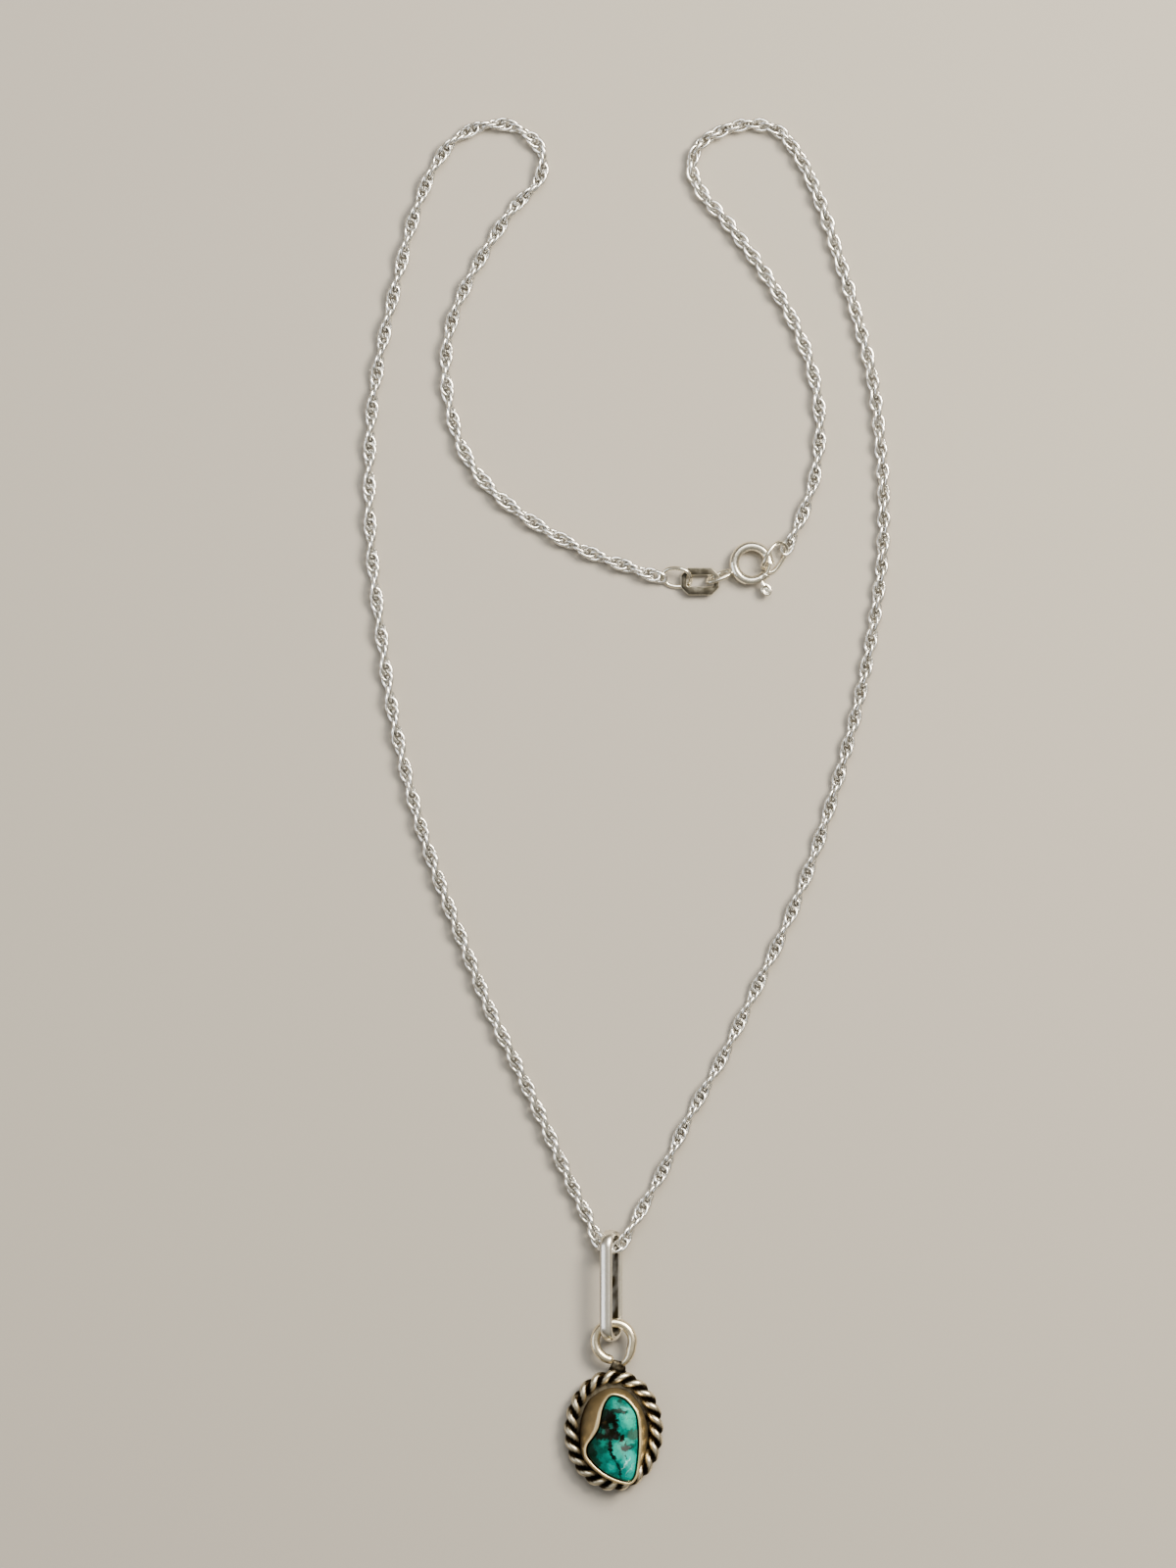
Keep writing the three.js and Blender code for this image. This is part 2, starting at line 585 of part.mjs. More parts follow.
const finishes = {
  chainSilver: { color: '#d8d6cc', roughness: 0.25, metalness: 1 },
  claspSilver: { color: '#cfc8b0', roughness: 0.3, metalness: 1 },
  tagSilver: { color: '#8a774f', roughness: 0.5, metalness: 1 },
  bailSilver: { color: '#d6d0bc', roughness: 0.35, metalness: 1 },
  agedSilver: { color: '#b9aa86', roughness: 0.4, metalness: 1 },
  turquoise: { color: '#2f9c92', roughness: 0.25, metalness: 0 },
};

function piece(name, geometry, finish) {
  const mesh = new THREE.Mesh(geometry, new THREE.MeshStandardMaterial(finishes[finish]));
  mesh.name = name;
  return mesh;
}

const chain = new THREE.Group().add(
  piece('chain_left', chainGeometry(CHAIN_LEFT), 'chainSilver'),
  piece('chain_right', chainGeometry(CHAIN_RIGHT), 'chainSilver'),
);
const clasp = new THREE.Group().add(
  piece('end_ring_left', endRingGeometry(END_RING_LEFT), 'claspSilver'),
  piece('tag_link', tagGeometry(), 'tagSilver'),
  piece('spring_ring', springRingGeometry(), 'claspSilver'),
  piece('spring_ring_trigger', triggerGeometry(), 'claspSilver'),
  piece('end_ring_right', endRingGeometry(END_RING_RIGHT), 'claspSilver'),
);
const pendant = new THREE.Group().add(
  piece('bail', bailGeometry(), 'bailSilver'),
  piece('setting', settingGeometry(), 'agedSilver'),
  piece('turquoise_stone', stoneGeometry(), 'turquoise'),
);

export default new THREE.Group().add(chain, clasp, pendant);
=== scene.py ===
"""Turquoise necklace: a silver rope chain with a spring ring clasp, a long wire bail and a drop whose
turquoise nugget sits in a bezel inside a twisted wire border. It lies flat on a pale surface.

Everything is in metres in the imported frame: +Z up from the surface, +Y from the drop to the clasp end.
Sizes written in millimetres are multiplied by MM.
"""

from __future__ import annotations

import logging
import math
from collections.abc import Callable, Iterable, Sequence
from dataclasses import dataclass
from enum import Enum
from typing import Any

import bmesh
import bpy
from mathutils import Matrix, Vector, noise

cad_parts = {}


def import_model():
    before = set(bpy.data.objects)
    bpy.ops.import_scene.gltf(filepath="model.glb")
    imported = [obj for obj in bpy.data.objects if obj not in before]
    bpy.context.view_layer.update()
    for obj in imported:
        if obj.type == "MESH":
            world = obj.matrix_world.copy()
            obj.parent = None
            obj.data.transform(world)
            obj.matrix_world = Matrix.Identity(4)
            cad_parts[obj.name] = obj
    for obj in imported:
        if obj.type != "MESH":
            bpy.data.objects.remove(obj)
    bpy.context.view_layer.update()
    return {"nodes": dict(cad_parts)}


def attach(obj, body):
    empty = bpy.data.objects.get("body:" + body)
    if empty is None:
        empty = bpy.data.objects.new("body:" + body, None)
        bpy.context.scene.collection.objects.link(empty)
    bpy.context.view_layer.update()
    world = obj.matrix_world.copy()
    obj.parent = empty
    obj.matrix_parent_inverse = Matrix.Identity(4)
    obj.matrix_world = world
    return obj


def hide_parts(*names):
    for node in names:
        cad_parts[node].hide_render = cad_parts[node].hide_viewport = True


LOG = logging.getLogger("necklace")
MM = 0.001
Z_AXIS = Vector((0.0, 0.0, 1.0))
MERGE_DISTANCE = 1e-7  # corners nearer than this, in metres, are one
DOME_DEGREES = (80, 58, 35, 15)  # latitudes of the rings that round off a wire's end
LINK_STEPS = 14  # points round a chain link
LINK_WIRE_SIDES = 5  # points round its wire
THROUGH = 1e6  # size up and down of a colour area, so large that the height makes no difference


# ------------------------------------------------------------------ small helpers


def linear(hex_colour: str) -> tuple[float, float, float, float]:
    """Turns an sRGB hex colour into linear RGBA.

    Args:
        hex_colour: Six hex digits after a hash.

    Returns:
        Linear red, green, blue and an alpha of 1.
    """
    channels = [int(hex_colour[i : i + 2], 16) / 255 for i in (1, 3, 5)]
    return (*[c / 12.92 if c <= 0.04045 else ((c + 0.055) / 1.055) ** 2.4 for c in channels], 1.0)


def add_node(
    tree: bpy.types.NodeTree, kind: str, inputs: dict[Any, Any] | None = None, **settings: Any
) -> bpy.types.Node:
    """Adds one node to a tree.

    Args:
        tree: The shader or geometry tree.
        kind: The node's type name.
        inputs: Values or output sockets, by the input's name or number.
        **settings: The node's own properties.

    Returns:
        The new node.
    """
    node = tree.nodes.new(kind)
    for name, value in settings.items():
        setattr(node, name, value)
    for name, value in (inputs or {}).items():
        socket = node.inputs[name]
        if isinstance(value, bpy.types.NodeSocket):
            tree.links.new(value, socket)
        else:
            socket.default_value = value
    return node


def piece_of(name: str, mesh: bpy.types.Mesh, material: bpy.types.Material) -> bpy.types.Object:
    """Puts a mesh in the scene as one smooth-shaded piece.

    Args:
        name: The piece's name.
        mesh: Its mesh, already in place.
        material: Its material.

    Returns:
        The new object, at the origin.
    """
    mesh.name = name
    mesh.materials.clear()
    mesh.materials.append(material)
    mesh.polygons.foreach_set("use_smooth", [True] * len(mesh.polygons))
    piece = bpy.data.objects.new(name, mesh)
    bpy.context.scene.collection.objects.link(piece)
    return piece


def mesh_from(points: Sequence[Vector], faces: Sequence[Sequence[int]]) -> bpy.types.Mesh:
    """Makes a mesh from points and faces.

    Args:
        points: Corners in metres.
        faces: Corner numbers of each face.

    Returns:
        The mesh.
    """
    mesh = bpy.data.meshes.new("shape")
    mesh.from_pydata([tuple(point) for point in points], [], faces)
    mesh.update()
    return mesh


def grid_faces(rings: int, around: int, closed: bool) -> list[tuple[int, ...]]:
    """Faces between successive rings of points, with lids at the ends of an open run.

    Args:
        rings: How many rings there are.
        around: How many points a ring has.
        closed: Whether the last ring joins the first.

    Returns:
        The faces.
    """
    faces: list[tuple[int, ...]] = []
    for ring in range(rings if closed else rings - 1):
        here, there = ring * around, (ring + 1) % rings * around
        for i in range(around):
            j = (i + 1) % around
            faces.append((here + i, here + j, there + j, there + i))
    if not closed:
        faces.append(tuple(reversed(range(around))))
        faces.append(tuple(range((rings - 1) * around, rings * around)))
    return faces


def smooth_curve(points: Sequence[Vector], per_span: int, closed: bool = False) -> list[Vector]:
    """Dense points on the centripetal Catmull-Rom curve through some points.

    Args:
        points: The points that the curve passes through.
        per_span: Steps between two of them.
        closed: Whether the curve closes on itself.

    Returns:
        The dense points; an open curve ends with its last point.
    """
    count = len(points)

    def at(i: int) -> Vector:
        """The point of a number, carried on past the ends of an open curve.

        Args:
            i: The number, which may be just past either end.

        Returns:
            The point.
        """
        if closed:
            return points[i % count]
        if i < 0:
            return points[0] * 2 - points[1]
        if i >= count:
            return points[-1] * 2 - points[-2]
        return points[i]

    dense: list[Vector] = []
    for i in range(count if closed else count - 1):
        p0, p1, p2, p3 = (at(i + k) for k in (-1, 0, 1, 2))
        d0, d1, d2 = (math.sqrt((b - a).length) for a, b in ((p0, p1), (p1, p2), (p2, p3)))
        m1 = ((p1 - p0) / d0 - (p2 - p0) / (d0 + d1) + (p2 - p1) / d1) * d1
        m2 = ((p2 - p1) / d1 - (p3 - p1) / (d1 + d2) + (p3 - p2) / d2) * d1
        for step in range(per_span):
            t = step / per_span
            dense.append(
                p1 * (2 * t**3 - 3 * t**2 + 1)
                + m1 * (t**3 - 2 * t**2 + t)
                + p2 * (3 * t**2 - 2 * t**3)
                + m2 * (t**3 - t**2)
            )
    if not closed:
        dense.append(points[-1].copy())
    return dense


def wire_along(
    path: Sequence[Vector], radius: Callable[[float], float], sides: int, closed: bool
) -> bpy.types.Mesh:
    """Round wire along a path, with rounded ends if it is open.

    Args:
        path: Dense points of its middle line.
        radius: The wire's radius at a share of its length from 0 to 1.
        sides: Points round the wire.
        closed: Whether the wire closes on itself.

    Returns:
        The mesh.
    """
    count = len(path)
    stations: list[tuple[Vector, Vector, float]] = []
    for i, point in enumerate(path):
        before = path[i - 1] if closed or i else point
        after = path[(i + 1) % count] if closed or i + 1 < count else point
        stations.append((point, (after - before).normalized(), radius(i / max(1, count - 1))))
    if not closed:
        domes = [math.radians(a) for a in DOME_DEGREES]
        start, end = stations[0], stations[-1]
        stations = (
            [(start[0] - start[1] * start[2] * math.sin(a), start[1], start[2] * math.cos(a)) for a in domes]
            + stations
            + [(end[0] + end[1] * end[2] * math.sin(a), end[1], end[2] * math.cos(a)) for a in domes[::-1]]
        )
    across = stations[0][1].orthogonal().normalized()
    points: list[Vector] = []
    frames: list[Vector] = []
    for _, tangent, _ in stations:
        across = (across - tangent * across.dot(tangent)).normalized()
        frames.append(across)
    twist = 0.0
    if closed:
        first, tangent = frames[0], stations[0][1]
        last = (frames[-1] - tangent * frames[-1].dot(tangent)).normalized()
        twist = math.atan2(last.cross(first).dot(tangent), last.dot(first))
    for i, ((point, tangent, size), side) in enumerate(zip(stations, frames)):
        up = tangent.cross(side)
        turn = twist * i / len(stations)
        for k in range(sides):
            angle = 2 * math.pi * k / sides + turn
            points.append(point + (side * math.cos(angle) + up * math.sin(angle)) * size)
    return mesh_from(points, grid_faces(len(stations), sides, closed))


def remeshed(mesh: bpy.types.Mesh, voxel: float, smoothing: int) -> bpy.types.Mesh:
    """One even skin over all the shells of a mesh, with its sharp edges and joins rounded.

    Args:
        mesh: Closed shells, which may overlap.
        voxel: Size of the even faces, in metres.
        smoothing: Rounds of smoothing.

    Returns:
        The new mesh.
    """
    work = bpy.data.objects.new("work", mesh)
    bpy.context.scene.collection.objects.link(work)
    remesh = work.modifiers.new("remesh", "REMESH")
    remesh.mode = "VOXEL"
    remesh.voxel_size = voxel
    smooth = work.modifiers.new("smooth", "SMOOTH")
    smooth.factor = 0.5
    smooth.iterations = smoothing
    return baked(work)


def baked(work: bpy.types.Object) -> bpy.types.Mesh:
    """Turns a work object with its modifiers into a plain mesh and removes the object.

    Args:
        work: The object with live modifiers.

    Returns:
        The plain mesh.
    """
    graph = bpy.context.evaluated_depsgraph_get()
    graph.update()
    result = bpy.data.meshes.new_from_object(work.evaluated_get(graph))
    bpy.data.objects.remove(work)
    return result


def joined_mesh(meshes: Iterable[bpy.types.Mesh]) -> bpy.types.Mesh:
    """Puts several meshes into one.

    Args:
        meshes: The meshes, in place.

    Returns:
        One mesh with all their faces.
    """
    build = bmesh.new()
    for mesh in meshes:
        build.from_mesh(mesh)
    result = bpy.data.meshes.new("joined")
    build.to_mesh(result)
    build.free()
    return result


def node_copy(node: bpy.types.Object) -> bpy.types.Mesh:
    """A merged copy of a frame node's mesh.

    Args:
        node: The node's object.

    Returns:
        A closed copy whose corners are shared.
    """
    build = bmesh.new()
    build.from_mesh(node.data)
    bmesh.ops.remove_doubles(build, verts=build.verts, dist=MERGE_DISTANCE)
    result = bpy.data.meshes.new("copy")
    build.to_mesh(result)
    build.free()
    return result


def stain(mesh: bpy.types.Mesh, rule: Callable[[Vector], float]) -> None:
    """Paints how dark each corner of a mesh is, with oxide and painted shade, for the silver finishes to
    read.

    Args:
        mesh: The mesh, in place.
        rule: Gives the share of darkening by oxide and painted shade, 0 to 1, at a place in millimetres.
    """
    shares = [min(1.0, max(0.0, rule(corner.co / MM))) for corner in mesh.vertices]
    mesh.attributes.new("tarnish_and_shade", "FLOAT", "POINT").data.foreach_set("value", shares)


def eased(value: float, low: float, high: float) -> float:
    """Smooth step from 0 at one value to 1 at another.

    Args:
        value: The value.
        low: Where the step starts; it may be the higher of the two.
        high: Where it ends.

    Returns:
        The share from 0 to 1.
    """
    share = min(1.0, max(0.0, (value - low) / (high - low)))
    return share * share * (3 - 2 * share)


class SocketKind(Enum):
    """Kinds of input that a geometry tree can have."""

    LENGTH = "NodeSocketFloat"
    COUNT = "NodeSocketInt"
    FINISH = "NodeSocketMaterial"


def new_tree(
    name: str, inputs: dict[str, SocketKind]
) -> tuple[bpy.types.NodeTree, dict[str, bpy.types.NodeSocket], bpy.types.Node]:
    """Starts a geometry tree with named inputs.

    Args:
        name: The tree's name.
        inputs: The kind of each named input after Geometry.

    Returns:
        The tree, its inputs' sockets by name, and its output node.
    """
    tree = bpy.data.node_groups.new(name, "GeometryNodeTree")
    tree.interface.new_socket("Geometry", in_out="INPUT", socket_type="NodeSocketGeometry")
    for label, kind in inputs.items():
        tree.interface.new_socket(label, in_out="INPUT", socket_type=kind.value)
    tree.interface.new_socket("Geometry", in_out="OUTPUT", socket_type="NodeSocketGeometry")
    source = add_node(tree, "NodeGroupInput")
    sockets = {socket.name: socket for socket in source.outputs if socket.name}
    return tree, sockets, add_node(tree, "NodeGroupOutput")


def grown(
    name: str, seed_mesh: bpy.types.Mesh, tree: bpy.types.NodeTree, values: dict[str, Any]
) -> bpy.types.Mesh:
    """Runs a geometry tree on a mesh and returns the plain result.

    Args:
        name: Name of the work object.
        seed_mesh: The mesh that the tree starts from.
        tree: The tree.
        values: Its inputs by name.

    Returns:
        The plain mesh.
    """
    work = bpy.data.objects.new(name + "_work", seed_mesh)
    bpy.context.scene.collection.objects.link(work)
    modifier = work.modifiers.new("grow", "NODES")
    modifier.node_group = tree
    for item in tree.interface.items_tree:
        if item.in_out == "INPUT" and item.name in values:
            modifier[item.identifier] = values[item.name]
    return baked(work)


# ------------------------------------------------------------------ finishes


@dataclass(frozen=True)
class SilverFinish:
    """Sterling silver: bright and slightly warm, darkened in its recesses by oxide and by painted shade.

    Attributes:
        name: Material name.
        bright: Colour of the rubbed metal.
        tarnish_and_shade: Colour of the oxide film and of the painted shade, in the blotches, the recesses
            and the painted areas.
        roughness: Roughness of the rubbed metal.
        recess_mm: How near a neighbouring surface must be to count as a recess.
        recess_share: How strongly the recesses darken, 0 to 1.
        recess_from: Openness at which a recess is fully dark, and at which it is clean.
        blotch_share: How much of the open surface carries thin tarnish, 0 to 1.
        blotch_mm: Size of the blotches.
        film_from: Blotch noise at which the thin film starts and at which it is full.
        uneven_from: Blotch noise between which the painted tarnish varies.
        uneven: Strength of the painted tarnish at those two, as factors.
        dulling: How much rougher full tarnish is than the rubbed metal.
        grain_mm: Spacing of the fine scratches and pits in the surface.
        grain_depth: Strength of those pits as bump.
    """

    name: str
    bright: str
    tarnish_and_shade: str
    roughness: float
    recess_mm: float = 0.5
    recess_share: float = 0.8
    recess_from: tuple[float, float] = (0.35, 0.85)
    blotch_share: float = 0.2
    blotch_mm: float = 1.5
    film_from: tuple[float, float] = (0.42, 0.68)
    uneven_from: tuple[float, float] = (0.3, 0.7)
    uneven: tuple[float, float] = (1.1, 0.96)
    dulling: float = 0.3
    grain_mm: float = 0.12
    grain_depth: float = 0.15

    def material(self) -> bpy.types.Material:
        """Builds the material.

        Returns:
            The node material.
        """
        material = bpy.data.materials.new(self.name)
        material.use_nodes = True
        tree = material.node_tree
        shader = tree.nodes["Principled BSDF"]
        place = add_node(tree, "ShaderNodeTexCoord").outputs["Object"]

        # Ambient occlusion darkens the recesses: painted shade where parts nest, together with the oxide
        # that collects there.
        recess = add_node(
            tree, "ShaderNodeAmbientOcclusion", {"Distance": self.recess_mm * MM}, samples=8, only_local=True
        )
        depth = add_node(
            tree,
            "ShaderNodeMapRange",
            {
                "Value": recess.outputs["AO"],
                "From Min": self.recess_from[0],
                "From Max": self.recess_from[1],
                "To Min": self.recess_share,
                "To Max": 0.0,
            },
        )
        blotches = add_node(
            tree,
            "ShaderNodeTexNoise",
            {"Vector": place, "Scale": 1 / (self.blotch_mm * MM), "Detail": 5.0, "Roughness": 0.6},
        )
        film = add_node(
            tree,
            "ShaderNodeMapRange",
            {
                "Value": blotches.outputs["Fac"],
                "From Min": self.film_from[0],
                "From Max": self.film_from[1],
                "To Max": self.blotch_share,
            },
        )
        # Each piece's painted darkening, partly oxide and partly painted shade, read from its corners.
        painted = add_node(tree, "ShaderNodeAttribute", attribute_name="tarnish_and_shade")
        uneven = add_node(
            tree,
            "ShaderNodeMapRange",
            {
                "Value": blotches.outputs["Fac"],
                "From Min": self.uneven_from[0],
                "From Max": self.uneven_from[1],
                "To Min": self.uneven[0],
                "To Max": self.uneven[1],
            },
        )
        laid = add_node(
            tree,
            "ShaderNodeMath",
            {0: painted.outputs["Fac"], 1: uneven.outputs["Result"]},
            operation="MULTIPLY",
            use_clamp=True,
        )
        deeper = add_node(
            tree,
            "ShaderNodeMath",
            {0: depth.outputs["Result"], 1: film.outputs["Result"]},
            operation="MAXIMUM",
        )
        dark = add_node(
            tree, "ShaderNodeMath", {0: deeper.outputs[0], 1: laid.outputs[0]}, operation="MAXIMUM"
        )
        colour = add_node(
            tree,
            "ShaderNodeMix",
            {0: dark.outputs[0], 6: linear(self.bright), 7: linear(self.tarnish_and_shade)},
            data_type="RGBA",
        )
        gloss = add_node(
            tree,
            "ShaderNodeMapRange",
            {
                "Value": dark.outputs[0],
                "To Min": self.roughness,
                "To Max": min(1.0, self.roughness + self.dulling),
            },
        )
        grain = add_node(
            tree, "ShaderNodeTexNoise", {"Vector": place, "Scale": 1 / (self.grain_mm * MM), "Detail": 3.0}
        )
        bump = add_node(
            tree,
            "ShaderNodeBump",
            {
                "Strength": self.grain_depth,
                "Distance": self.grain_mm * MM / 2,
                "Height": grain.outputs["Fac"],
            },
        )
        tree.links.new(colour.outputs[2], shader.inputs["Base Color"])
        tree.links.new(gloss.outputs["Result"], shader.inputs["Roughness"])
        tree.links.new(bump.outputs["Normal"], shader.inputs["Normal"])
        shader.inputs["Metallic"].default_value = 1.0
        return material


@dataclass(frozen=True)
class Patch:
    """One soft-edged area of colour in the nugget, placed about the middle of the setting.

    Attributes:
        x: Middle of the area, in millimetres.
        y: Middle of the area, in millimetres.
        half_width: Half its width along its own short side, in millimetres.
        half_length: Half its length, in millimetres.
        lean: Degrees that its length leans from +Y towards -X.
        colour: Its colour.
        share: Its strength, 0 to 1.
        edge: How soft its edge is, as a share of its size.
    """

    x: float
    y: float
    half_width: float
    half_length: float
    lean: float
    colour: str
    share: float = 1.0
    edge: float = 0.5


@dataclass(frozen=True)
class TurquoiseFinish:
    """Tumbled turquoise in its matrix: saturated blue-green, brown-black stains and a waxy polish.

    Attributes:
        name: Material name.
        ground: Usual colour.
        deep: Colour of the darker mottles.
        pale: Colour of the paler mottles.
        matrix: Colour of the host rock in stains, veins and specks.
        mottle_mm: Size of the mottles.
        speck_mm: Size of the specks.
        mottle_stops: Mottle noise of the darker, the usual and the paler colour.
        speck_from: Speck noise at which a speck starts and at which it is full.
        speck_share: Strength of the specks, 0 to 1.
        vein_mm: Distance between hairline veins.
        vein_edge: Width of a hairline, as a share of that distance.
        vein_share: Strength of the hairlines, 0 to 1.
        wander_mm: How far an area's edge wanders.
        bay_mm: Size of the bays in such an edge.
        pit_mm: Distance between the tumbled surface's shallow pits.
        pit_depth: Strength of those pits as bump.
        roughness: Roughness of the polish.
        ior: Refractive index of turquoise.
        gloss: Specular level, low because a waxy polish mirrors little.
        patches: Areas of colour, the later ones over the earlier; the three palest streaks are painted
            highlights.
    """

    name: str = "polished_turquoise"
    ground: str = "#006055"
    deep: str = "#003e35"
    pale: str = "#007e71"
    matrix: str = "#0d0f08"
    mottle_mm: float = 1.1
    speck_mm: float = 0.26
    mottle_stops: tuple[float, float, float] = (0.36, 0.5, 0.66)
    speck_from: tuple[float, float] = (0.6, 0.7)
    speck_share: float = 0.8
    vein_mm: float = 2.0
    vein_edge: float = 0.03
    vein_share: float = 0.45
    wander_mm: float = 0.7
    bay_mm: float = 0.5
    pit_mm: float = 0.2
    pit_depth: float = 0.1
    roughness: float = 0.22
    ior: float = 1.61
    gloss: float = 0.02
    patches: tuple[Patch, ...] = (
        Patch(-0.1, 3.7, 1.1, 0.8, 0, "#085a4f", 0.9, 0.5),
        Patch(0.1, 3.5, 0.5, 0.5, 0, "#158274", 0.7, 0.9),
        Patch(0.8, 3.8, 0.35, 0.3, 30, "#122a22", 0.8, 0.6),
        Patch(-1.5, -1.7, 1.0, 1.3, 0, "#03382e", 0.85, 0.7),
        Patch(-1.5, -1.3, 0.5, 0.55, 0, "#0a6a5c", 0.75, 0.8),
        Patch(-2.0, -2.3, 0.3, 0.5, 0, "#04493f", 0.7, 0.7),
        Patch(1.65, 1.75, 1.1, 1.6, 0, "#00897a", 1.0, 0.3),
        Patch(2.0, 1.5, 0.6, 1.15, 8, "#009f88", 0.9, 0.8),
        # Painted highlight: a pale streak on the upper bulge.
        Patch(1.6, 2.85, 0.55, 0.16, -20, "#5fcdbb", 0.45, 0.8),
        Patch(0.45, 0.55, 0.5, 0.75, 0, "#00776a", 0.95, 0.4),
        Patch(1.9, -4.1, 1.1, 2.1, 0, "#00857a", 1.0, 0.4),
        Patch(2.1, -3.7, 0.55, 1.4, 0, "#009f93", 0.85, 0.9),
        Patch(-0.75, -3.95, 1.2, 1.45, -15, "#00685c", 1.0, 0.4),
        Patch(-0.3, -4.35, 0.55, 0.7, -30, "#009f91", 0.85, 0.9),
        Patch(0.5, -2.3, 0.6, 1.0, 0, "#058676", 0.95, 0.4),
        Patch(1.75, -1.05, 1.0, 0.5, 0, "#1d8a79", 0.9, 0.5),
        Patch(-3.0, -2.6, 0.85, 1.8, 10, "#0a1d14", 1.0, 0.5),
        Patch(-2.2, -3.7, 0.7, 0.5, -40, "#0f2c22", 0.9, 0.6),
        Patch(-2.3, -1.0, 0.5, 0.9, 40, "#07261f", 0.85, 0.7),
        Patch(-1.35, 3.1, 0.3, 0.8, -10, "#07261f", 0.8, 0.7),
        # Painted highlights: two pale glint streaks on the lower bulge.
        Patch(1.45, -3.9, 0.13, 1.0, -38, "#a5e6dc", 0.6, 0.9),
        Patch(1.95, -4.6, 0.12, 0.8, -32, "#a5e6dc", 0.4, 0.9),
        Patch(2.45, -0.35, 0.75, 0.6, 0, "#33574a", 0.95, 0.35),
        Patch(-0.65, 1.0, 1.2, 1.85, 8, "#0c0d07", 1.0, 0.25),
        Patch(-1.3, 2.4, 0.5, 0.7, 0, "#10231b", 0.9, 0.5),
        Patch(0.6, 2.6, 1.3, 0.3, -8, "#0f1f18", 0.95, 0.5),
        Patch(-1.4, -0.35, 0.95, 0.65, 0, "#0f100a", 0.97, 0.5),
        Patch(0.1, -0.35, 0.6, 0.65, 20, "#0c0c07", 1.0, 0.3),
        Patch(1.05, -0.78, 0.4, 0.42, 0, "#0e0c07", 1.0, 0.25),
        Patch(1.5, -1.95, 0.55, 0.3, 0, "#1d2425", 0.97, 0.4),
        Patch(1.95, -2.05, 0.16, 0.5, -60, "#1a2423", 0.95, 0.4),
        Patch(1.25, -2.1, 0.16, 0.5, 50, "#1a2423", 0.95, 0.4),
        Patch(1.5, -1.6, 0.14, 0.45, 0, "#1a2423", 0.95, 0.4),
        Patch(1.5, -2.95, 0.14, 0.17, 0, "#0f2a22", 0.95, 0.3),
        Patch(-0.5, -1.7, 0.22, 1.0, 5, "#070906", 1.0, 0.3),
        Patch(-0.2, -2.75, 0.17, 0.75, 25, "#070906", 1.0, 0.3),
        Patch(0.4, -4.0, 0.1, 0.75, 28, "#0a130f", 0.95, 0.4),
        Patch(0.8, -5.05, 0.12, 0.85, 4, "#0c1712", 0.95, 0.5),
        Patch(-0.35, 0.75, 0.22, 0.35, 0, "#1a5a4f", 0.6, 0.9),
        Patch(-1.2, 1.2, 0.2, 0.3, 0, "#2c2413", 0.7, 0.9),
        Patch(-1.25, 0.1, 0.22, 0.28, 0, "#1f5f53", 0.55, 0.9),
    )

    def wandering(self, tree: bpy.types.NodeTree, place: bpy.types.NodeSocket) -> bpy.types.NodeSocket:
        """Shifts places by a noise, so that the edges of what is drawn there wander.

        Args:
            tree: The material's tree.
            place: The place in millimetres.

        Returns:
            The shifted place.
        """
        wander = add_node(
            tree,
            "ShaderNodeTexNoise",
            {"Vector": place, "Scale": 1 / self.bay_mm, "Detail": 7.0, "Roughness": 0.66},
        )
        shift = add_node(
            tree,
            "ShaderNodeVectorMath",
            {0: wander.outputs["Color"], 1: (0.5, 0.5, 0.5)},
            operation="SUBTRACT",
        )
        reach = (self.wander_mm * 2, self.wander_mm * 2, 0.0)
        return add_node(
            tree, "ShaderNodeVectorMath", {0: shift.outputs[0], 1: reach, 2: place}, operation="MULTIPLY_ADD"
        ).outputs[0]

    def mottled(self, tree: bpy.types.NodeTree, place: bpy.types.NodeSocket) -> bpy.types.NodeSocket:
        """The usual colour with its darker and paler mottles.

        Args:
            tree: The material's tree.
            place: The place in millimetres.

        Returns:
            The colour.
        """
        mottle = add_node(
            tree,
            "ShaderNodeTexNoise",
            {"Vector": place, "Scale": 1 / self.mottle_mm, "Detail": 8.0, "Roughness": 0.7},
        )
        ramp = add_node(tree, "ShaderNodeValToRGB", {"Fac": mottle.outputs["Fac"]})
        dark, usual, light = self.mottle_stops
        ramp.color_ramp.elements[0].position = dark
        ramp.color_ramp.elements[0].color = linear(self.deep)
        ramp.color_ramp.elements[1].position = light
        ramp.color_ramp.elements[1].color = linear(self.pale)
        ramp.color_ramp.elements.new(usual).color = linear(self.ground)
        return ramp.outputs["Color"]

    def patched(
        self, tree: bpy.types.NodeTree, place: bpy.types.NodeSocket, colour: bpy.types.NodeSocket
    ) -> bpy.types.NodeSocket:
        """Lays the areas of colour over a colour.

        Args:
            tree: The material's tree.
            place: The shifted place in millimetres.
            colour: The colour under them.

        Returns:
            The colour with the areas.
        """
        for patch in self.patches:
            own = add_node(
                tree,
                "ShaderNodeMapping",
                {
                    "Vector": place,
                    "Location": (patch.x, patch.y, 0.0),
                    "Rotation": (0.0, 0.0, math.radians(patch.lean)),
                    "Scale": (patch.half_width, patch.half_length, THROUGH),
                },
                vector_type="TEXTURE",
            )
            away = add_node(tree, "ShaderNodeVectorMath", {0: own.outputs["Vector"]}, operation="LENGTH")
            cover = add_node(
                tree,
                "ShaderNodeMapRange",
                {
                    "Value": away.outputs["Value"],
                    "From Min": 1.0 + patch.edge / 2,
                    "From Max": 1.0 - patch.edge / 2,
                    "To Max": patch.share,
                },
                interpolation_type="SMOOTHSTEP",
            )
            colour = add_node(
                tree,
                "ShaderNodeMix",
                {0: cover.outputs["Result"], 6: colour, 7: linear(patch.colour)},
                data_type="RGBA",
            ).outputs[2]
        return colour

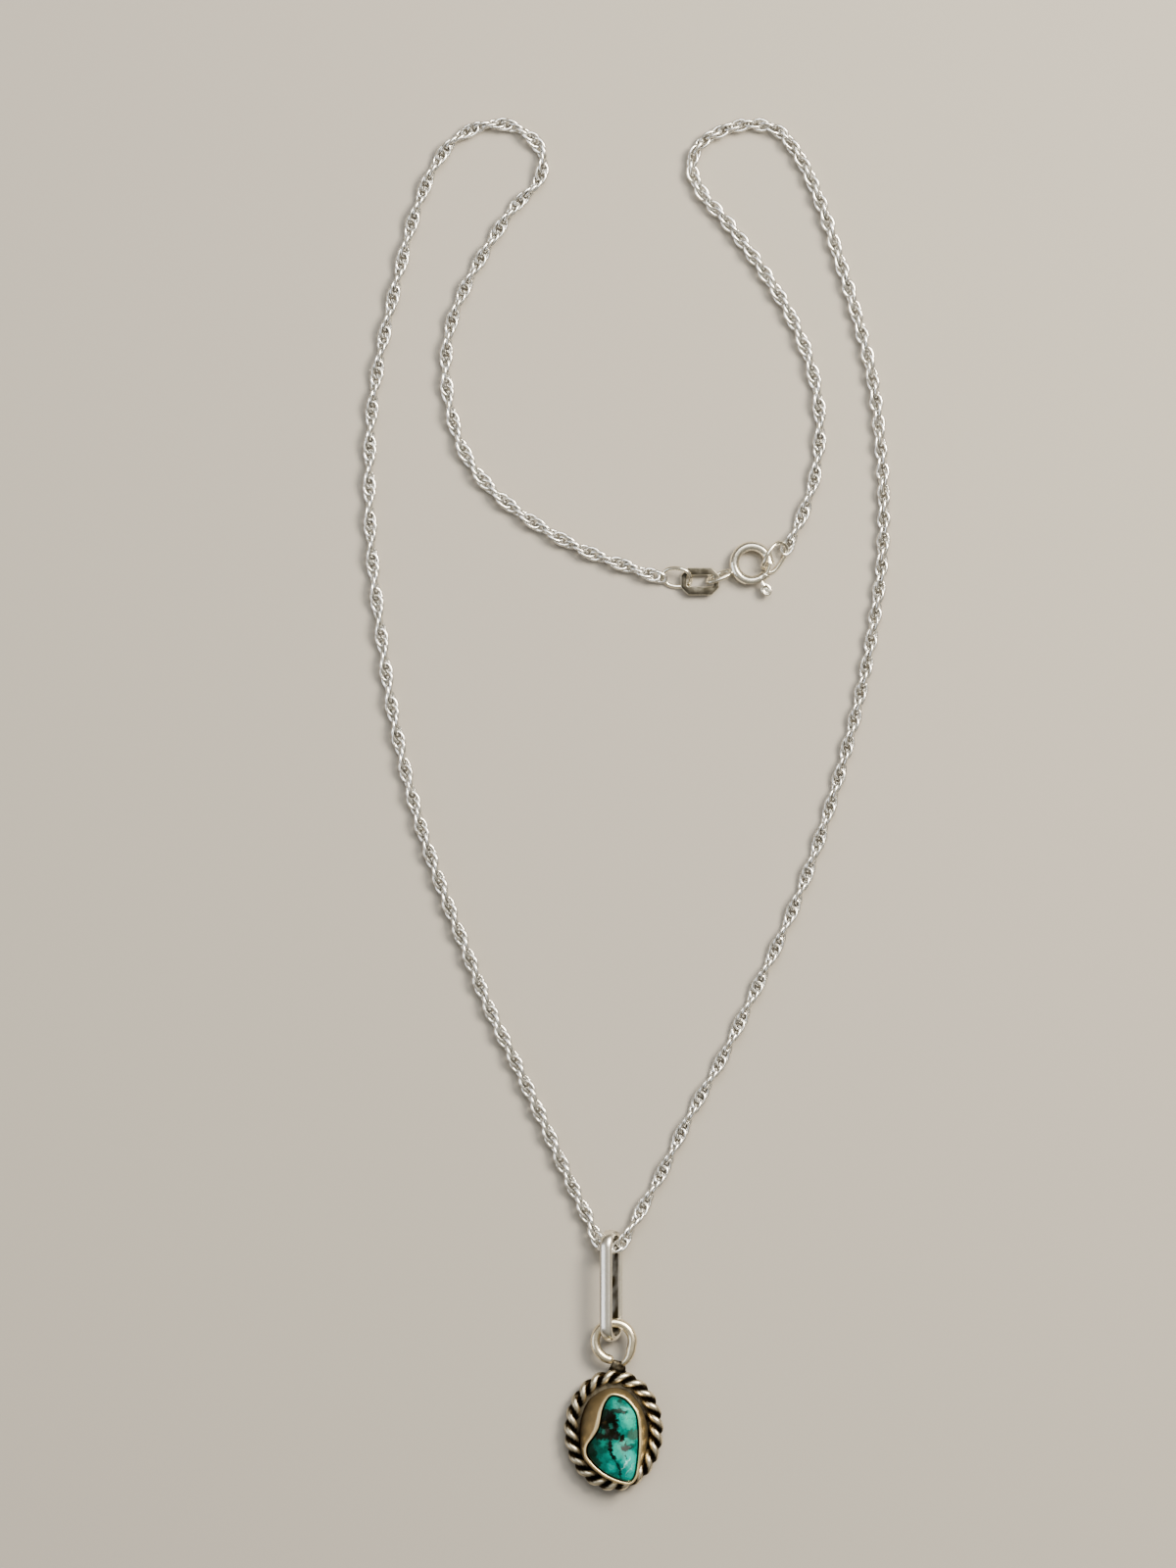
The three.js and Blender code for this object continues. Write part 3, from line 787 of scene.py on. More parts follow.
    def veined(
        self, tree: bpy.types.NodeTree, place: bpy.types.NodeSocket, colour: bpy.types.NodeSocket
    ) -> bpy.types.NodeSocket:
        """Lays the host rock's hairlines and specks over a colour.

        Args:
            tree: The material's tree.
            place: The shifted place in millimetres.
            colour: The colour under them.

        Returns:
            The colour with the hairlines and specks.
        """
        cracks = add_node(
            tree,
            "ShaderNodeTexVoronoi",
            {"Vector": place, "Scale": 1 / self.vein_mm, "Randomness": 1.0},
            feature="DISTANCE_TO_EDGE",
        )
        thin = add_node(
            tree,
            "ShaderNodeMapRange",
            {
                "Value": cracks.outputs["Distance"],
                "From Min": self.vein_edge,
                "From Max": 0.0,
                "To Max": self.vein_share,
            },
        )
        specks = add_node(
            tree,
            "ShaderNodeTexNoise",
            {"Vector": place, "Scale": 1 / self.speck_mm, "Detail": 4.0, "Roughness": 0.75},
        )
        flecked = add_node(
            tree,
            "ShaderNodeMapRange",
            {
                "Value": specks.outputs["Fac"],
                "From Min": self.speck_from[0],
                "From Max": self.speck_from[1],
                "To Max": self.speck_share,
            },
        )
        stained = add_node(
            tree,
            "ShaderNodeMath",
            {0: thin.outputs["Result"], 1: flecked.outputs["Result"]},
            operation="MAXIMUM",
        )
        return add_node(
            tree,
            "ShaderNodeMix",
            {0: stained.outputs[0], 6: colour, 7: linear(self.matrix)},
            data_type="RGBA",
        ).outputs[2]

    def material(self, middle: Vector) -> bpy.types.Material:
        """Builds the material.

        Args:
            middle: Middle of the setting, in metres.

        Returns:
            The node material.
        """
        material = bpy.data.materials.new(self.name)
        material.use_nodes = True
        tree = material.node_tree
        shader = tree.nodes["Principled BSDF"]
        place = add_node(
            tree,
            "ShaderNodeMapping",
            {
                "Vector": add_node(tree, "ShaderNodeTexCoord").outputs["Object"],
                "Location": (-middle.x / MM, -middle.y / MM, 0.0),
                "Scale": (1 / MM, 1 / MM, 1 / MM),
            },
        ).outputs["Vector"]
        shifted = self.wandering(tree, place)
        colour = self.patched(tree, shifted, self.mottled(tree, place))
        colour = self.veined(tree, shifted, colour)
        pits = add_node(
            tree, "ShaderNodeTexNoise", {"Vector": place, "Scale": 1 / self.pit_mm, "Detail": 4.0}
        )
        bump = add_node(
            tree,
            "ShaderNodeBump",
            {"Strength": self.pit_depth, "Distance": self.pit_mm * MM / 2, "Height": pits.outputs["Fac"]},
        )
        tree.links.new(colour, shader.inputs["Base Color"])
        tree.links.new(bump.outputs["Normal"], shader.inputs["Normal"])
        shader.inputs["Roughness"].default_value = self.roughness
        shader.inputs["IOR"].default_value = self.ior
        shader.inputs["Specular IOR Level"].default_value = self.gloss
        return material


# Machine-made links, tumbled bright: mirror glints, and shade only where the links nest.
CHAIN_SILVER = SilverFinish(
    "tumbled_chain_silver", "#fdfbf4", "#453e2e", 0.19, recess_mm=0.45, recess_share=0.5, blotch_share=0.05,
    blotch_mm=2.5, grain_mm=0.2, grain_depth=0.04,
)
# Pressed clasp parts rubbed by wear: clear reflections with a faint yellow film.
CLASP_SILVER = SilverFinish(
    "worn_clasp_silver", "#f7f0dc", "#5a4826", 0.16, recess_mm=0.5, recess_share=0.75, blotch_share=0.2,
    blotch_mm=1.2, grain_mm=0.15, grain_depth=0.06,
)
# Flat wire that has gone dull: a grey-brown film with fine scratches.
TAG_SILVER = SilverFinish(
    "dull_flat_wire_silver", "#e8e0cc", "#35322a", 0.24, recess_mm=0.4, recess_share=0.6, blotch_share=0.4,
    blotch_mm=0.9, grain_mm=0.09, grain_depth=0.25,
)
# Half-round wire with a satin drawn finish: broad soft glints, brown between its bars from oxide and painted
# shade, and painted shade on the front bar's left flank.
BAIL_SILVER = SilverFinish(
    "satin_wire_silver", "#fbf5e6", "#2b2414", 0.24, recess_mm=1.2, recess_share=0.7, blotch_share=0.15,
    blotch_mm=1.6, grain_mm=0.14, grain_depth=0.12,
)
# Silver that was blackened all over and rubbed back on its high parts: cream crests, near-black hollows,
# deepened by painted shade under and beside the parts.
AGED_SILVER = SilverFinish(
    "blackened_rubbed_silver_and_shade", "#f3e6c6", "#1b1307", 0.24, recess_mm=0.7, recess_share=0.97,
    recess_from=(0.45, 0.9), blotch_share=0.2, blotch_mm=1.0, grain_mm=0.12, grain_depth=0.16,
)
# Thin strip of the same silver, rubbed less: warm brown painted shade and painted dark reflection on the
# left of its wall, oxide and painted shade at its foot, under a bright rim.
BEZEL_SILVER = SilverFinish(
    "bezel_silver_patina_and_shade", "#efd7a2", "#3f2406", 0.36, recess_mm=0.5, recess_share=0.55,
    recess_from=(0.4, 0.85), blotch_share=0.2, blotch_mm=1.4, grain_mm=0.12, grain_depth=0.12,
)


# ------------------------------------------------------------------ chain


@dataclass
class RopeChain:
    """The rope chain: oval links, each threaded through the next two and turned a little from it.

    Attributes:
        left_mm: Points of the left half's middle line, from the bail to the tag link.
        right_mm: The same for the right half, from the bail to the spring ring.
        left_turns_mm: Rows of (distance from the bail, length of a half turn there) for the left half.
        right_turns_mm: The same for the right half.
        end_turns: Turn of the last link at the tag link's end and at the spring ring's end, in degrees.
        end_trims_mm: How far the last links' middles lie from the ends of the middle line.
        drop_mm: How far the links lie below the middle line, so that they touch the surface.
        length_mm: Outer length of a link.
        width_mm: Outer width of a link.
        wire_mm: Diameter of the link's wire.
        pitch_mm: Distance from one link to the next.
        lean: Most that a link leans at random, in degrees.
        seed: Seed of the leans.
    """

    left_mm: tuple[tuple[float, float, float], ...] = (
        (-2.32, -55.2, 2.08), (-2.62, -55.19, 2.04), (-3.1, -54.9, 1.85), (-3.55, -54.3, 1.6),
        (-4.4, -52.4, 1.2), (-5.1, -50.9, 1.0), (-7.0, -47.0, 0.94), (-10.5, -39.2, 0.94),
        (-13.6, -32.6, 0.94), (-16.9, -25.8, 0.94), (-20.1, -17.8, 0.94), (-23.0, -10.4, 0.94),
        (-25.7, -2.4, 0.94), (-27.7, 5.0, 0.94), (-29.4, 13.2, 0.94), (-30.6, 21.7, 0.94),
        (-31.6, 30.2, 0.94), (-32.0, 39.1, 0.94), (-31.7, 48.6, 0.94), (-30.5, 56.5, 0.94),
        (-28.5, 65.2, 0.94), (-26.5, 72.8, 0.94), (-23.9, 79.2, 0.94), (-21.3, 82.6, 0.94),
        (-18.2, 84.2, 0.94), (-15.3, 84.5, 0.94), (-12.7, 83.5, 0.94), (-10.9, 81.7, 0.94),
        (-10.4, 79.4, 0.94), (-11.2, 77.1, 0.94), (-14.1, 74.0, 0.94), (-17.4, 69.0, 0.94),
        (-20.2, 63.9, 0.94), (-21.9, 59.3, 0.94), (-22.5, 54.3, 0.94), (-21.9, 49.0, 0.94),
        (-20.2, 43.8, 0.94), (-17.0, 39.3, 0.94), (-12.0, 35.3, 0.94), (-5.9, 31.8, 0.94),
        (0.1, 29.5, 0.94), (3.9, 28.2, 0.94),
    )
    right_mm: tuple[tuple[float, float, float], ...] = (
        (-2.0, -55.2, 2.12), (-1.7, -55.19, 2.16), (-1.1, -55.02, 2.25), (-0.5, -54.55, 2.2),
        (0.1, -53.6, 2.0), (0.9, -52.2, 1.55), (1.9, -50.4, 1.1), (4.4, -45.9, 0.94),
        (7.9, -38.8, 0.94), (12.1, -31.3, 0.94), (15.8, -23.7, 0.94), (19.6, -15.7, 0.94),
        (22.3, -9.2, 0.94), (24.8, -2.0, 0.94), (27.1, 5.8, 0.94), (29.3, 14.5, 0.94),
        (30.7, 22.1, 0.94), (31.7, 29.3, 0.94), (32.0, 37.2, 0.94), (31.6, 44.5, 0.94),
        (30.6, 52.8, 0.94), (28.8, 60.1, 0.94), (26.6, 67.3, 0.94), (23.8, 75.6, 0.94),
        (21.4, 80.6, 0.94), (18.8, 83.7, 0.94), (15.6, 84.5, 0.94), (11.9, 83.7, 0.94),
        (9.2, 82.0, 0.94), (8.1, 79.3, 0.94), (9.3, 76.1, 0.94), (12.6, 72.2, 0.94),
        (16.7, 66.7, 0.94), (20.4, 60.7, 0.94), (22.8, 54.9, 0.94), (23.9, 49.7, 0.94),
        (24.0, 44.9, 0.94), (23.1, 39.4, 0.94), (21.2, 34.3, 0.94), (20.3, 32.5, 0.94),
    )
    left_turns_mm: tuple[tuple[float, float], ...] = (
        (0.0, 3.4), (55.0, 3.5), (85.0, 4.7), (135.0, 4.8), (155.0, 4.4), (225.0, 4.0),
    )
    right_turns_mm: tuple[tuple[float, float], ...] = (
        (0.0, 5.2), (45.0, 5.2), (75.0, 3.4), (100.0, 2.9), (135.0, 2.9), (150.0, 2.4),
        (175.0, 2.5), (192.0, 4.0), (220.0, 5.0),
    )
    end_turns: tuple[float, float] = (57.0, 60.0)
    end_trims_mm: tuple[float, float] = (0.03, -0.6)
    drop_mm: float = 0.01
    length_mm: float = 2.58
    width_mm: float = 1.79
    wire_mm: float = 0.41
    pitch_mm: float = 0.86
    lean: float = 2.5
    seed: int = 11

    @staticmethod
    def half_turn(rows: Sequence[tuple[float, float]], distance_mm: float) -> float:
        """Length of a half turn of the twist at a distance from the bail.

        Args:
            rows: Rows of (distance, length).
            distance_mm: The distance.

        Returns:
            The length in millimetres.
        """
        for (d0, h0), (d1, h1) in zip(rows, rows[1:]):
            if distance_mm < d1:
                return h0 + (h1 - h0) * (distance_mm - d0) / (d1 - d0)
        return rows[-1][1]

    def middle_line(self) -> tuple[list[Vector], list[float], list[float], float]:
        """The whole chain's middle line, from the tag link round the bail to the spring ring.

        Returns:
            Its points in metres, the distance along it and the links' turn in radians at each, and the
            distance at which the left half ends.
        """
        halves = [
            smooth_curve([Vector(point) * MM for point in half], 12)
            for half in (self.left_mm, self.right_mm)
        ]
        points = halves[0][::-1] + halves[1]
        distances = [0.0]
        for before, after in zip(points, points[1:]):
            distances.append(distances[-1] + (after - before).length)
        bail = distances[len(halves[0]) - 1]
        turns = [0.0]
        for before, after in zip(distances, distances[1:]):
            rows = self.left_turns_mm if after <= bail else self.right_turns_mm
            half_turn = self.half_turn(rows, abs(after - bail) / MM) * MM
            turns.append(turns[-1] + math.pi * (after - before) / half_turn)
        first, last = (math.radians(turn) for turn in self.end_turns)
        missing = (last - first - turns[-1]) % math.pi
        spread = (missing - math.pi if missing > math.pi / 2 else missing) / distances[-1]
        return points, distances, [first + t + spread * d for t, d in zip(turns, distances)], bail

    @staticmethod
    def stretch(
        points: Sequence[Vector],
        distances: Sequence[float],
        turns: Sequence[float],
        start: float,
        end: float,
    ) -> bpy.types.Mesh:
        """One stretch of the middle line as a line of edges that carries the turn.

        Args:
            points: Points of the whole line.
            distances: Distance along it at each.
            turns: Turn at each.
            start: Distance at which the stretch starts; it may lie a little before the line.
            end: Distance at which it ends.

        Returns:
            The stretch.
        """

        def at(distance: float) -> tuple[Vector, float]:
            """The place and the turn at a distance along the line.

            Args:
                distance: The distance; it may lie a little outside the line.

            Returns:
                The place in metres and the turn in radians.
            """
            last = len(distances) - 1
            i = next((k for k in range(1, last) if distances[k] > distance), last)
            share = (distance - distances[i - 1]) / (distances[i] - distances[i - 1])
            return points[i - 1].lerp(points[i], share), turns[i - 1] + (turns[i] - turns[i - 1]) * share

        inside = [(p, t) for p, d, t in zip(points, distances, turns) if start + 1e-6 < d < end - 1e-6]
        kept = [at(start), *inside, at(end)]
        line = bpy.data.meshes.new("middle_line")
        line.from_pydata([tuple(p) for p, _ in kept], [(i, i + 1) for i in range(len(kept) - 1)], [])
        line.attributes.new("turn", "FLOAT", "POINT").data.foreach_set("value", [t for _, t in kept])
        return line

    @staticmethod
    def tree() -> bpy.types.NodeTree:
        """The geometry tree that strings the links on a middle line.

        Returns:
            The tree.
        """
        tree, given, out = new_tree(
            "chain_links",
            {
                "Links": SocketKind.COUNT,
                "Half Width": SocketKind.LENGTH,
                "Stretch": SocketKind.LENGTH,
                "Wire Radius": SocketKind.LENGTH,
                "Drop": SocketKind.LENGTH,
                "Lean": SocketKind.LENGTH,
                "Seed": SocketKind.COUNT,
                "Finish": SocketKind.FINISH,
            },
        )
        line = add_node(tree, "GeometryNodeMeshToCurve", {"Mesh": given["Geometry"]})
        turn = add_node(tree, "GeometryNodeInputNamedAttribute", {"Name": "turn"}, data_type="FLOAT")
        tilted = add_node(
            tree, "GeometryNodeSetCurveTilt", {"Curve": line.outputs[0], "Tilt": turn.outputs["Attribute"]}
        )
        upright = add_node(tree, "GeometryNodeSetCurveNormal", {"Curve": tilted.outputs[0]}, mode="Z_UP")
        down = add_node(tree, "ShaderNodeMath", {0: given["Drop"], 1: -1.0}, operation="MULTIPLY")
        lower = add_node(tree, "ShaderNodeCombineXYZ", {"Z": down.outputs[0]})
        lying = add_node(
            tree, "GeometryNodeSetPosition", {"Geometry": upright.outputs[0], "Offset": lower.outputs[0]}
        )
        stops = add_node(
            tree,
            "GeometryNodeCurveToPoints",
            {"Curve": lying.outputs[0], "Count": given["Links"]},
            mode="COUNT",
        )

        round_wire = add_node(
            tree,
            "GeometryNodeCurvePrimitiveCircle",
            {"Resolution": LINK_STEPS, "Radius": given["Half Width"]},
        )
        along = add_node(tree, "ShaderNodeCombineXYZ", {"X": given["Stretch"], "Y": 1.0, "Z": 1.0})
        oval = add_node(
            tree,
            "GeometryNodeTransform",
            {"Geometry": round_wire.outputs[0], "Scale": along.outputs[0]},
        )
        section = add_node(
            tree,
            "GeometryNodeCurvePrimitiveCircle",
            {"Resolution": LINK_WIRE_SIDES, "Radius": given["Wire Radius"]},
        )
        link = add_node(
            tree, "GeometryNodeCurveToMesh", {"Curve": oval.outputs[0], "Profile Curve": section.outputs[0]}
        )
        standing = add_node(
            tree,
            "GeometryNodeTransform",
            {"Geometry": link.outputs[0], "Rotation": (0.0, -math.pi / 2, 0.0)},
        )

        least = add_node(tree, "ShaderNodeMath", {0: given["Lean"], 1: -1.0}, operation="MULTIPLY")
        lean = add_node(
            tree,
            "FunctionNodeRandomValue",
            {"Min": least.outputs[0], "Max": given["Lean"], "Seed": given["Seed"]},
            data_type="FLOAT_VECTOR",
        )
        lean_turn = add_node(tree, "FunctionNodeEulerToRotation", {0: lean.outputs["Value"]})
        turned = add_node(
            tree,
            "FunctionNodeRotateRotation",
            {"Rotation": stops.outputs["Rotation"], "Rotate By": lean_turn.outputs[0]},
            rotation_space="LOCAL",
        )
        strung = add_node(
            tree,
            "GeometryNodeInstanceOnPoints",
            {"Points": stops.outputs[0], "Instance": standing.outputs[0], "Rotation": turned.outputs[0]},
        )
        real = add_node(tree, "GeometryNodeRealizeInstances", {"Geometry": strung.outputs[0]})
        dressed = add_node(
            tree, "GeometryNodeSetMaterial", {"Geometry": real.outputs[0], "Material": given["Finish"]}
        )
        tree.links.new(dressed.outputs[0], out.inputs[0])
        return tree

    def build(self) -> None:
        """Strings both halves' links and stands them in for the frame's tubes."""
        silver = CHAIN_SILVER.material()
        tree = self.tree()
        points, distances, turns, bail = self.middle_line()
        start, end = self.end_trims_mm[0] * MM, distances[-1] - self.end_trims_mm[1] * MM
        steps = round((end - start) / (self.pitch_mm * MM))
        pitch = (end - start) / steps
        left_links = math.floor((bail - start) / pitch) + 1
        half_width = (self.width_mm - self.wire_mm) / 2
        for name, first, links in (
            ("chain_left", 0, left_links), ("chain_right", left_links, steps + 1 - left_links),
        ):
            line = self.stretch(
                points, distances, turns, start + first * pitch, start + (first + links - 1) * pitch
            )
            values = {
                "Links": links,
                "Half Width": half_width * MM,
                "Stretch": (self.length_mm - self.wire_mm) / 2 / half_width,
                "Wire Radius": self.wire_mm / 2 * MM,
                "Drop": self.drop_mm * MM,
                "Lean": math.radians(self.lean),
                "Seed": self.seed + first,
                "Finish": silver,
            }
            piece = piece_of(name + "_links", grown(name, line, tree, values), silver)
            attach(piece, "root")
            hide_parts(name)
            LOG.info("%s: %d links, %d faces", piece.name, links, len(piece.data.polygons))


# ------------------------------------------------------------------ clasp


@dataclass
class Clasp:
    """Spring ring, tag link and the two end rings, closed.

    Attributes:
        ring_wire_mm: Diameter of the end rings' wire.
        ring_lift_mm: How far the end rings' lowest places lie above the surface.
        left_ring_mm: Points of the left end ring as it lies.
        right_ring_mm: Points of the right end ring as it lies.
        voxel_mm: Face size of the rounded spring ring.
        ring_centre_mm: Middle of the spring ring.
        skin_rounds: Rounds of smoothing over the whole ring.
        mouth_span: Angles between which its lips are rounded, in degrees.
        lip_rounds: Rounds of smoothing there.
        bolt_mm: Radius of the bolt's arc and of its wire.
        bolt_span: Angles of the bolt's tip and tail, in degrees.
        lever_angle: Angle of the lever, in degrees.
        stem_mm: Radius of the lever's stem at the bolt, and how much it has grown at the tab.
        tab_mm: Distance of the tab's middle from the ring's, its half length, half width and
            half thickness.
        tab_taper: How much narrower the tab is at the stem, as a share.
        tab_flatness: Power that flattens the tab's two faces.
        tab_dimple_mm: Half length, half width and depth of the tab's dimple.
        dimple_shift_mm: How far the dimple lies outwards of the tab's middle.
        trigger_voxel_mm: Face size of the rounded bolt and lever.
        tag_box_mm: Left, right, bottom and top of the tag link.
        tag_hole_mm: The same for its hole.
        tag_corner_mm: How much of each side a cut corner takes.
        tag_hole_corner_mm: The same for the hole.
        tag_z_mm: Heights of its two faces.
        tag_edge_mm: Rounding of its edges.
    """

    ring_wire_mm: float = 0.53
    ring_lift_mm: float = 0.01
    left_ring_mm: tuple[tuple[float, float, float], ...] = (
        (7.92, 28.24, 1.55), (7.95, 27.82, 1.1), (7.81, 27.38, 0.65), (7.33, 27.08, 0.36),
        (6.66, 27.01, 0.26), (5.87, 27.06, 0.24), (5.14, 27.3, 0.26), (4.68, 27.79, 0.42),
        (4.54, 28.36, 0.75), (4.77, 28.91, 1.15), (5.38, 29.22, 1.5), (6.23, 29.24, 1.8),
        (7.03, 29.1, 1.95), (7.61, 28.73, 1.85),
    )
    right_ring_mm: tuple[tuple[float, float, float], ...] = (
        (16.95, 29.6, 1.7), (16.95, 29.37, 1.15), (17.22, 29.25, 0.55), (17.75, 28.82, 0.27),
        (18.25, 28.9, 0.25), (18.8, 29.46, 0.26), (19.41, 30.32, 0.34), (19.91, 31.29, 0.62),
        (19.87, 31.96, 0.95), (19.41, 32.35, 1.35), (18.84, 32.42, 1.75), (18.29, 32.05, 2.1),
        (17.8, 31.44, 2.3), (17.37, 30.68, 2.32), (17.14, 30.13, 2.15),
    )
    voxel_mm: float = 0.045
    ring_centre_mm: tuple[float, float, float] = (15.54, 29.88, 1.2)
    skin_rounds: int = 5
    mouth_span: tuple[float, float] = (-58.0, 24.0)
    lip_rounds: int = 50
    bolt_mm: tuple[float, float] = (2.2, 0.26)
    bolt_span: tuple[float, float] = (0.5, -72.0)
    lever_angle: float = -61.0
    stem_mm: tuple[float, float] = (0.22, 0.03)
    tab_mm: tuple[float, float, float, float] = (3.68, 0.88, 0.68, 0.24)
    tab_taper: float = 0.15
    tab_flatness: float = 0.4
    tab_dimple_mm: tuple[float, float, float] = (0.6, 0.42, 0.17)
    dimple_shift_mm: float = 0.08
    trigger_voxel_mm: float = 0.032
    tag_box_mm: tuple[float, float, float, float] = (6.72, 11.54, 25.93, 29.34)
    tag_hole_mm: tuple[float, float, float, float] = (7.52, 10.75, 27.02, 28.4)
    tag_corner_mm: float = 0.95
    tag_hole_corner_mm: float = 0.12
    tag_z_mm: tuple[float, float] = (0.86, 1.14)
    tag_edge_mm: float = 0.11

    def end_ring(self, points_mm: Sequence[tuple[float, float, float]]) -> bpy.types.Mesh:
        """One closed end ring.

        Args:
            points_mm: The ring's points.

        Returns:
            Its mesh.
        """
        lowest = self.ring_wire_mm / 2 + self.ring_lift_mm
        raised = [Vector((x, y, max(z, lowest))) * MM for x, y, z in points_mm]
        path = smooth_curve(raised, 6, closed=True)
        return wire_along(path, lambda _: self.ring_wire_mm / 2 * MM, 14, closed=True)

    @staticmethod
    def cornered(
        box: tuple[float, float, float, float], corner: float, inset: float, angles: Sequence[float]
    ) -> list[tuple[float, float]]:
        """Where rays from a box's middle meet its outline, whose corners are cut off.

        Args:
            box: Left, right, bottom and top of the box.
            corner: How much of each side a cut corner takes.
            inset: How far the outline is moved in; negative moves it out.
            angles: The rays' angles.

        Returns:
            The points, relative to the box's middle.
        """
        half_x, half_y = (box[1] - box[0]) / 2 - inset, (box[3] - box[2]) / 2 - inset
        cut = half_x + half_y - corner + inset * (2 - math.sqrt(2))
        outline = []
        for angle in angles:
            x, y = math.cos(angle), math.sin(angle)
            reach = min(
                half_x / max(abs(x), 1e-9), half_y / max(abs(y), 1e-9), cut / (abs(x) + abs(y))
            )
            outline.append((x * reach, y * reach))
        return outline

    def tag(self) -> bpy.types.Mesh:
        """The flat link: a cut-cornered frame with softened edges.

        Returns:
            Its mesh.
        """
        around = 144
        angles = [2 * math.pi * i / around for i in range(around)]
        low, high = self.tag_z_mm
        edge = self.tag_edge_mm
        bend = edge * 0.3  # inset at the middle of a rounded edge
        outer = (self.tag_box_mm, self.tag_corner_mm)
        hole = (self.tag_hole_mm, self.tag_hole_corner_mm)
        profile = (
            (outer, edge, low), (outer, bend, low + bend), (outer, 0.0, low + edge),
            (outer, 0.0, high - edge), (outer, bend, high - bend), (outer, edge, high),
            (hole, -edge, high), (hole, -bend, high - bend), (hole, 0.0, high - edge),
            (hole, 0.0, low + edge), (hole, -bend, low + bend), (hole, -edge, low),
        )
        middle_x = (self.tag_box_mm[0] + self.tag_box_mm[1]) / 2
        middle_y = (self.tag_box_mm[2] + self.tag_box_mm[3]) / 2
        shift_x = (self.tag_hole_mm[0] + self.tag_hole_mm[1]) / 2 - middle_x
        shift_y = (self.tag_hole_mm[2] + self.tag_hole_mm[3]) / 2 - middle_y
        points = []
        for (box, corner), inset, z in profile:
            is_hole = box is self.tag_hole_mm
            for x, y in self.cornered(box, corner, inset, angles):
                points.append(
                    Vector((
                        middle_x + x + (shift_x if is_hole else 0.0),
                        middle_y + y + (shift_y if is_hole else 0.0),
                        z,
                    )) * MM
                )
        mesh = mesh_from(points, grid_faces(len(profile), around, closed=True))
        stain(mesh, self.tag_tarnish)
        return mesh

    def tag_tarnish(self, place: Vector) -> float:
        """How dull the tag link is: on its two faces, but not on its rubbed edges.

        Args:
            place: The place in millimetres.

        Returns:
            The share of tarnish.
        """
        low, high = self.tag_z_mm
        half = (high - low) / 2
        return 0.05 + 0.9 * eased(abs(place.z - (low + high) / 2), half - 0.3 * self.tag_edge_mm, half)

    def on_ring(self, radius: float, angle: float) -> Vector:
        """A place at the spring ring's mid-height.

        Args:
            radius: Distance from the ring's middle, in millimetres.
            angle: Degrees from +X.

        Returns:
            The place in metres.
        """
        turn = math.radians(angle)
        reach = Vector((math.cos(turn), math.sin(turn), 0.0)) * radius
        return (Vector(self.ring_centre_mm) + reach) * MM

    def tab(self) -> bpy.types.Mesh:
        """The thumb tab: a flat oval button, narrower towards the ring, with a dimple in each face.

        Returns:
            Its mesh.
        """
        reach, half_length, half_width, half_thickness = self.tab_mm
        dimple_length, dimple_width, depth = self.tab_dimple_mm
        build = bmesh.new()
        bmesh.ops.create_uvsphere(build, u_segments=48, v_segments=32, radius=1.0)
        turn = Matrix.Rotation(math.radians(self.lever_angle), 4, "Z")
        middle = self.on_ring(reach, self.lever_angle)
        for corner in build.verts:
            x, y, z = corner.co
            taper = 1.0 - self.tab_taper * eased(x, 0.4, -1.0)
            flat = math.copysign(abs(z) ** self.tab_flatness, z) * half_thickness
            place = Vector((x * half_length, y * half_width * taper, flat))
            along = (place.x - self.dimple_shift_mm) / dimple_length
            inside = 1 - along**2 - (place.y / dimple_width) ** 2
            if inside > 0:
                place.z -= math.copysign(depth * min(1.0, 1.8 * inside), place.z)
            corner.co = middle + (turn @ place) * MM
        tab = bpy.data.meshes.new("tab")
        build.to_mesh(tab)
        build.free()
        return tab

    def trigger(self) -> bpy.types.Mesh:
        """The sliding bolt with its stem and thumb tab, fused into one.

        Returns:
            Its mesh.
        """
        radius, wire = self.bolt_mm
        first, last = self.bolt_span
        steps = 40
        bolt = [self.on_ring(radius, first + (last - first) * i / steps) for i in range(steps + 1)]
        reach = self.tab_mm[0]
        # The stem ends inside the tab, two thirds of the way to its middle.
        stem = [self.on_ring(radius + (reach - radius) * i / 12, self.lever_angle) for i in range(9)]
        thin, growth = self.stem_mm
        parts = (
            wire_along(bolt, lambda _: wire * MM, 20, closed=False),
            wire_along(stem, lambda share: (thin + growth * share) * MM, 16, closed=False),
            self.tab(),
        )
        return remeshed(joined_mesh(parts), self.trigger_voxel_mm * MM, 2)

    def body(self, node: bpy.types.Object) -> bpy.types.Mesh:
        """The spring ring's tube with softened edges, and its mouth's lips rounded further.

        Args:
            node: The frame's spring ring.

        Returns:
            Its mesh.
        """
        mesh = remeshed(node_copy(node), self.voxel_mm * MM, self.skin_rounds)
        build = bmesh.new()
        build.from_mesh(mesh)
        low, high = self.mouth_span
        lips = []
        for corner in build.verts:
            x, y, _ = corner.co / MM - Vector(self.ring_centre_mm)
            if low < math.degrees(math.atan2(y, x)) < high:
                lips.append(corner)
        for _ in range(self.lip_rounds):
            bmesh.ops.smooth_vert(
                build, verts=lips, factor=0.5, use_axis_x=True, use_axis_y=True, use_axis_z=True
            )
        build.to_mesh(mesh)
        build.free()
        return mesh

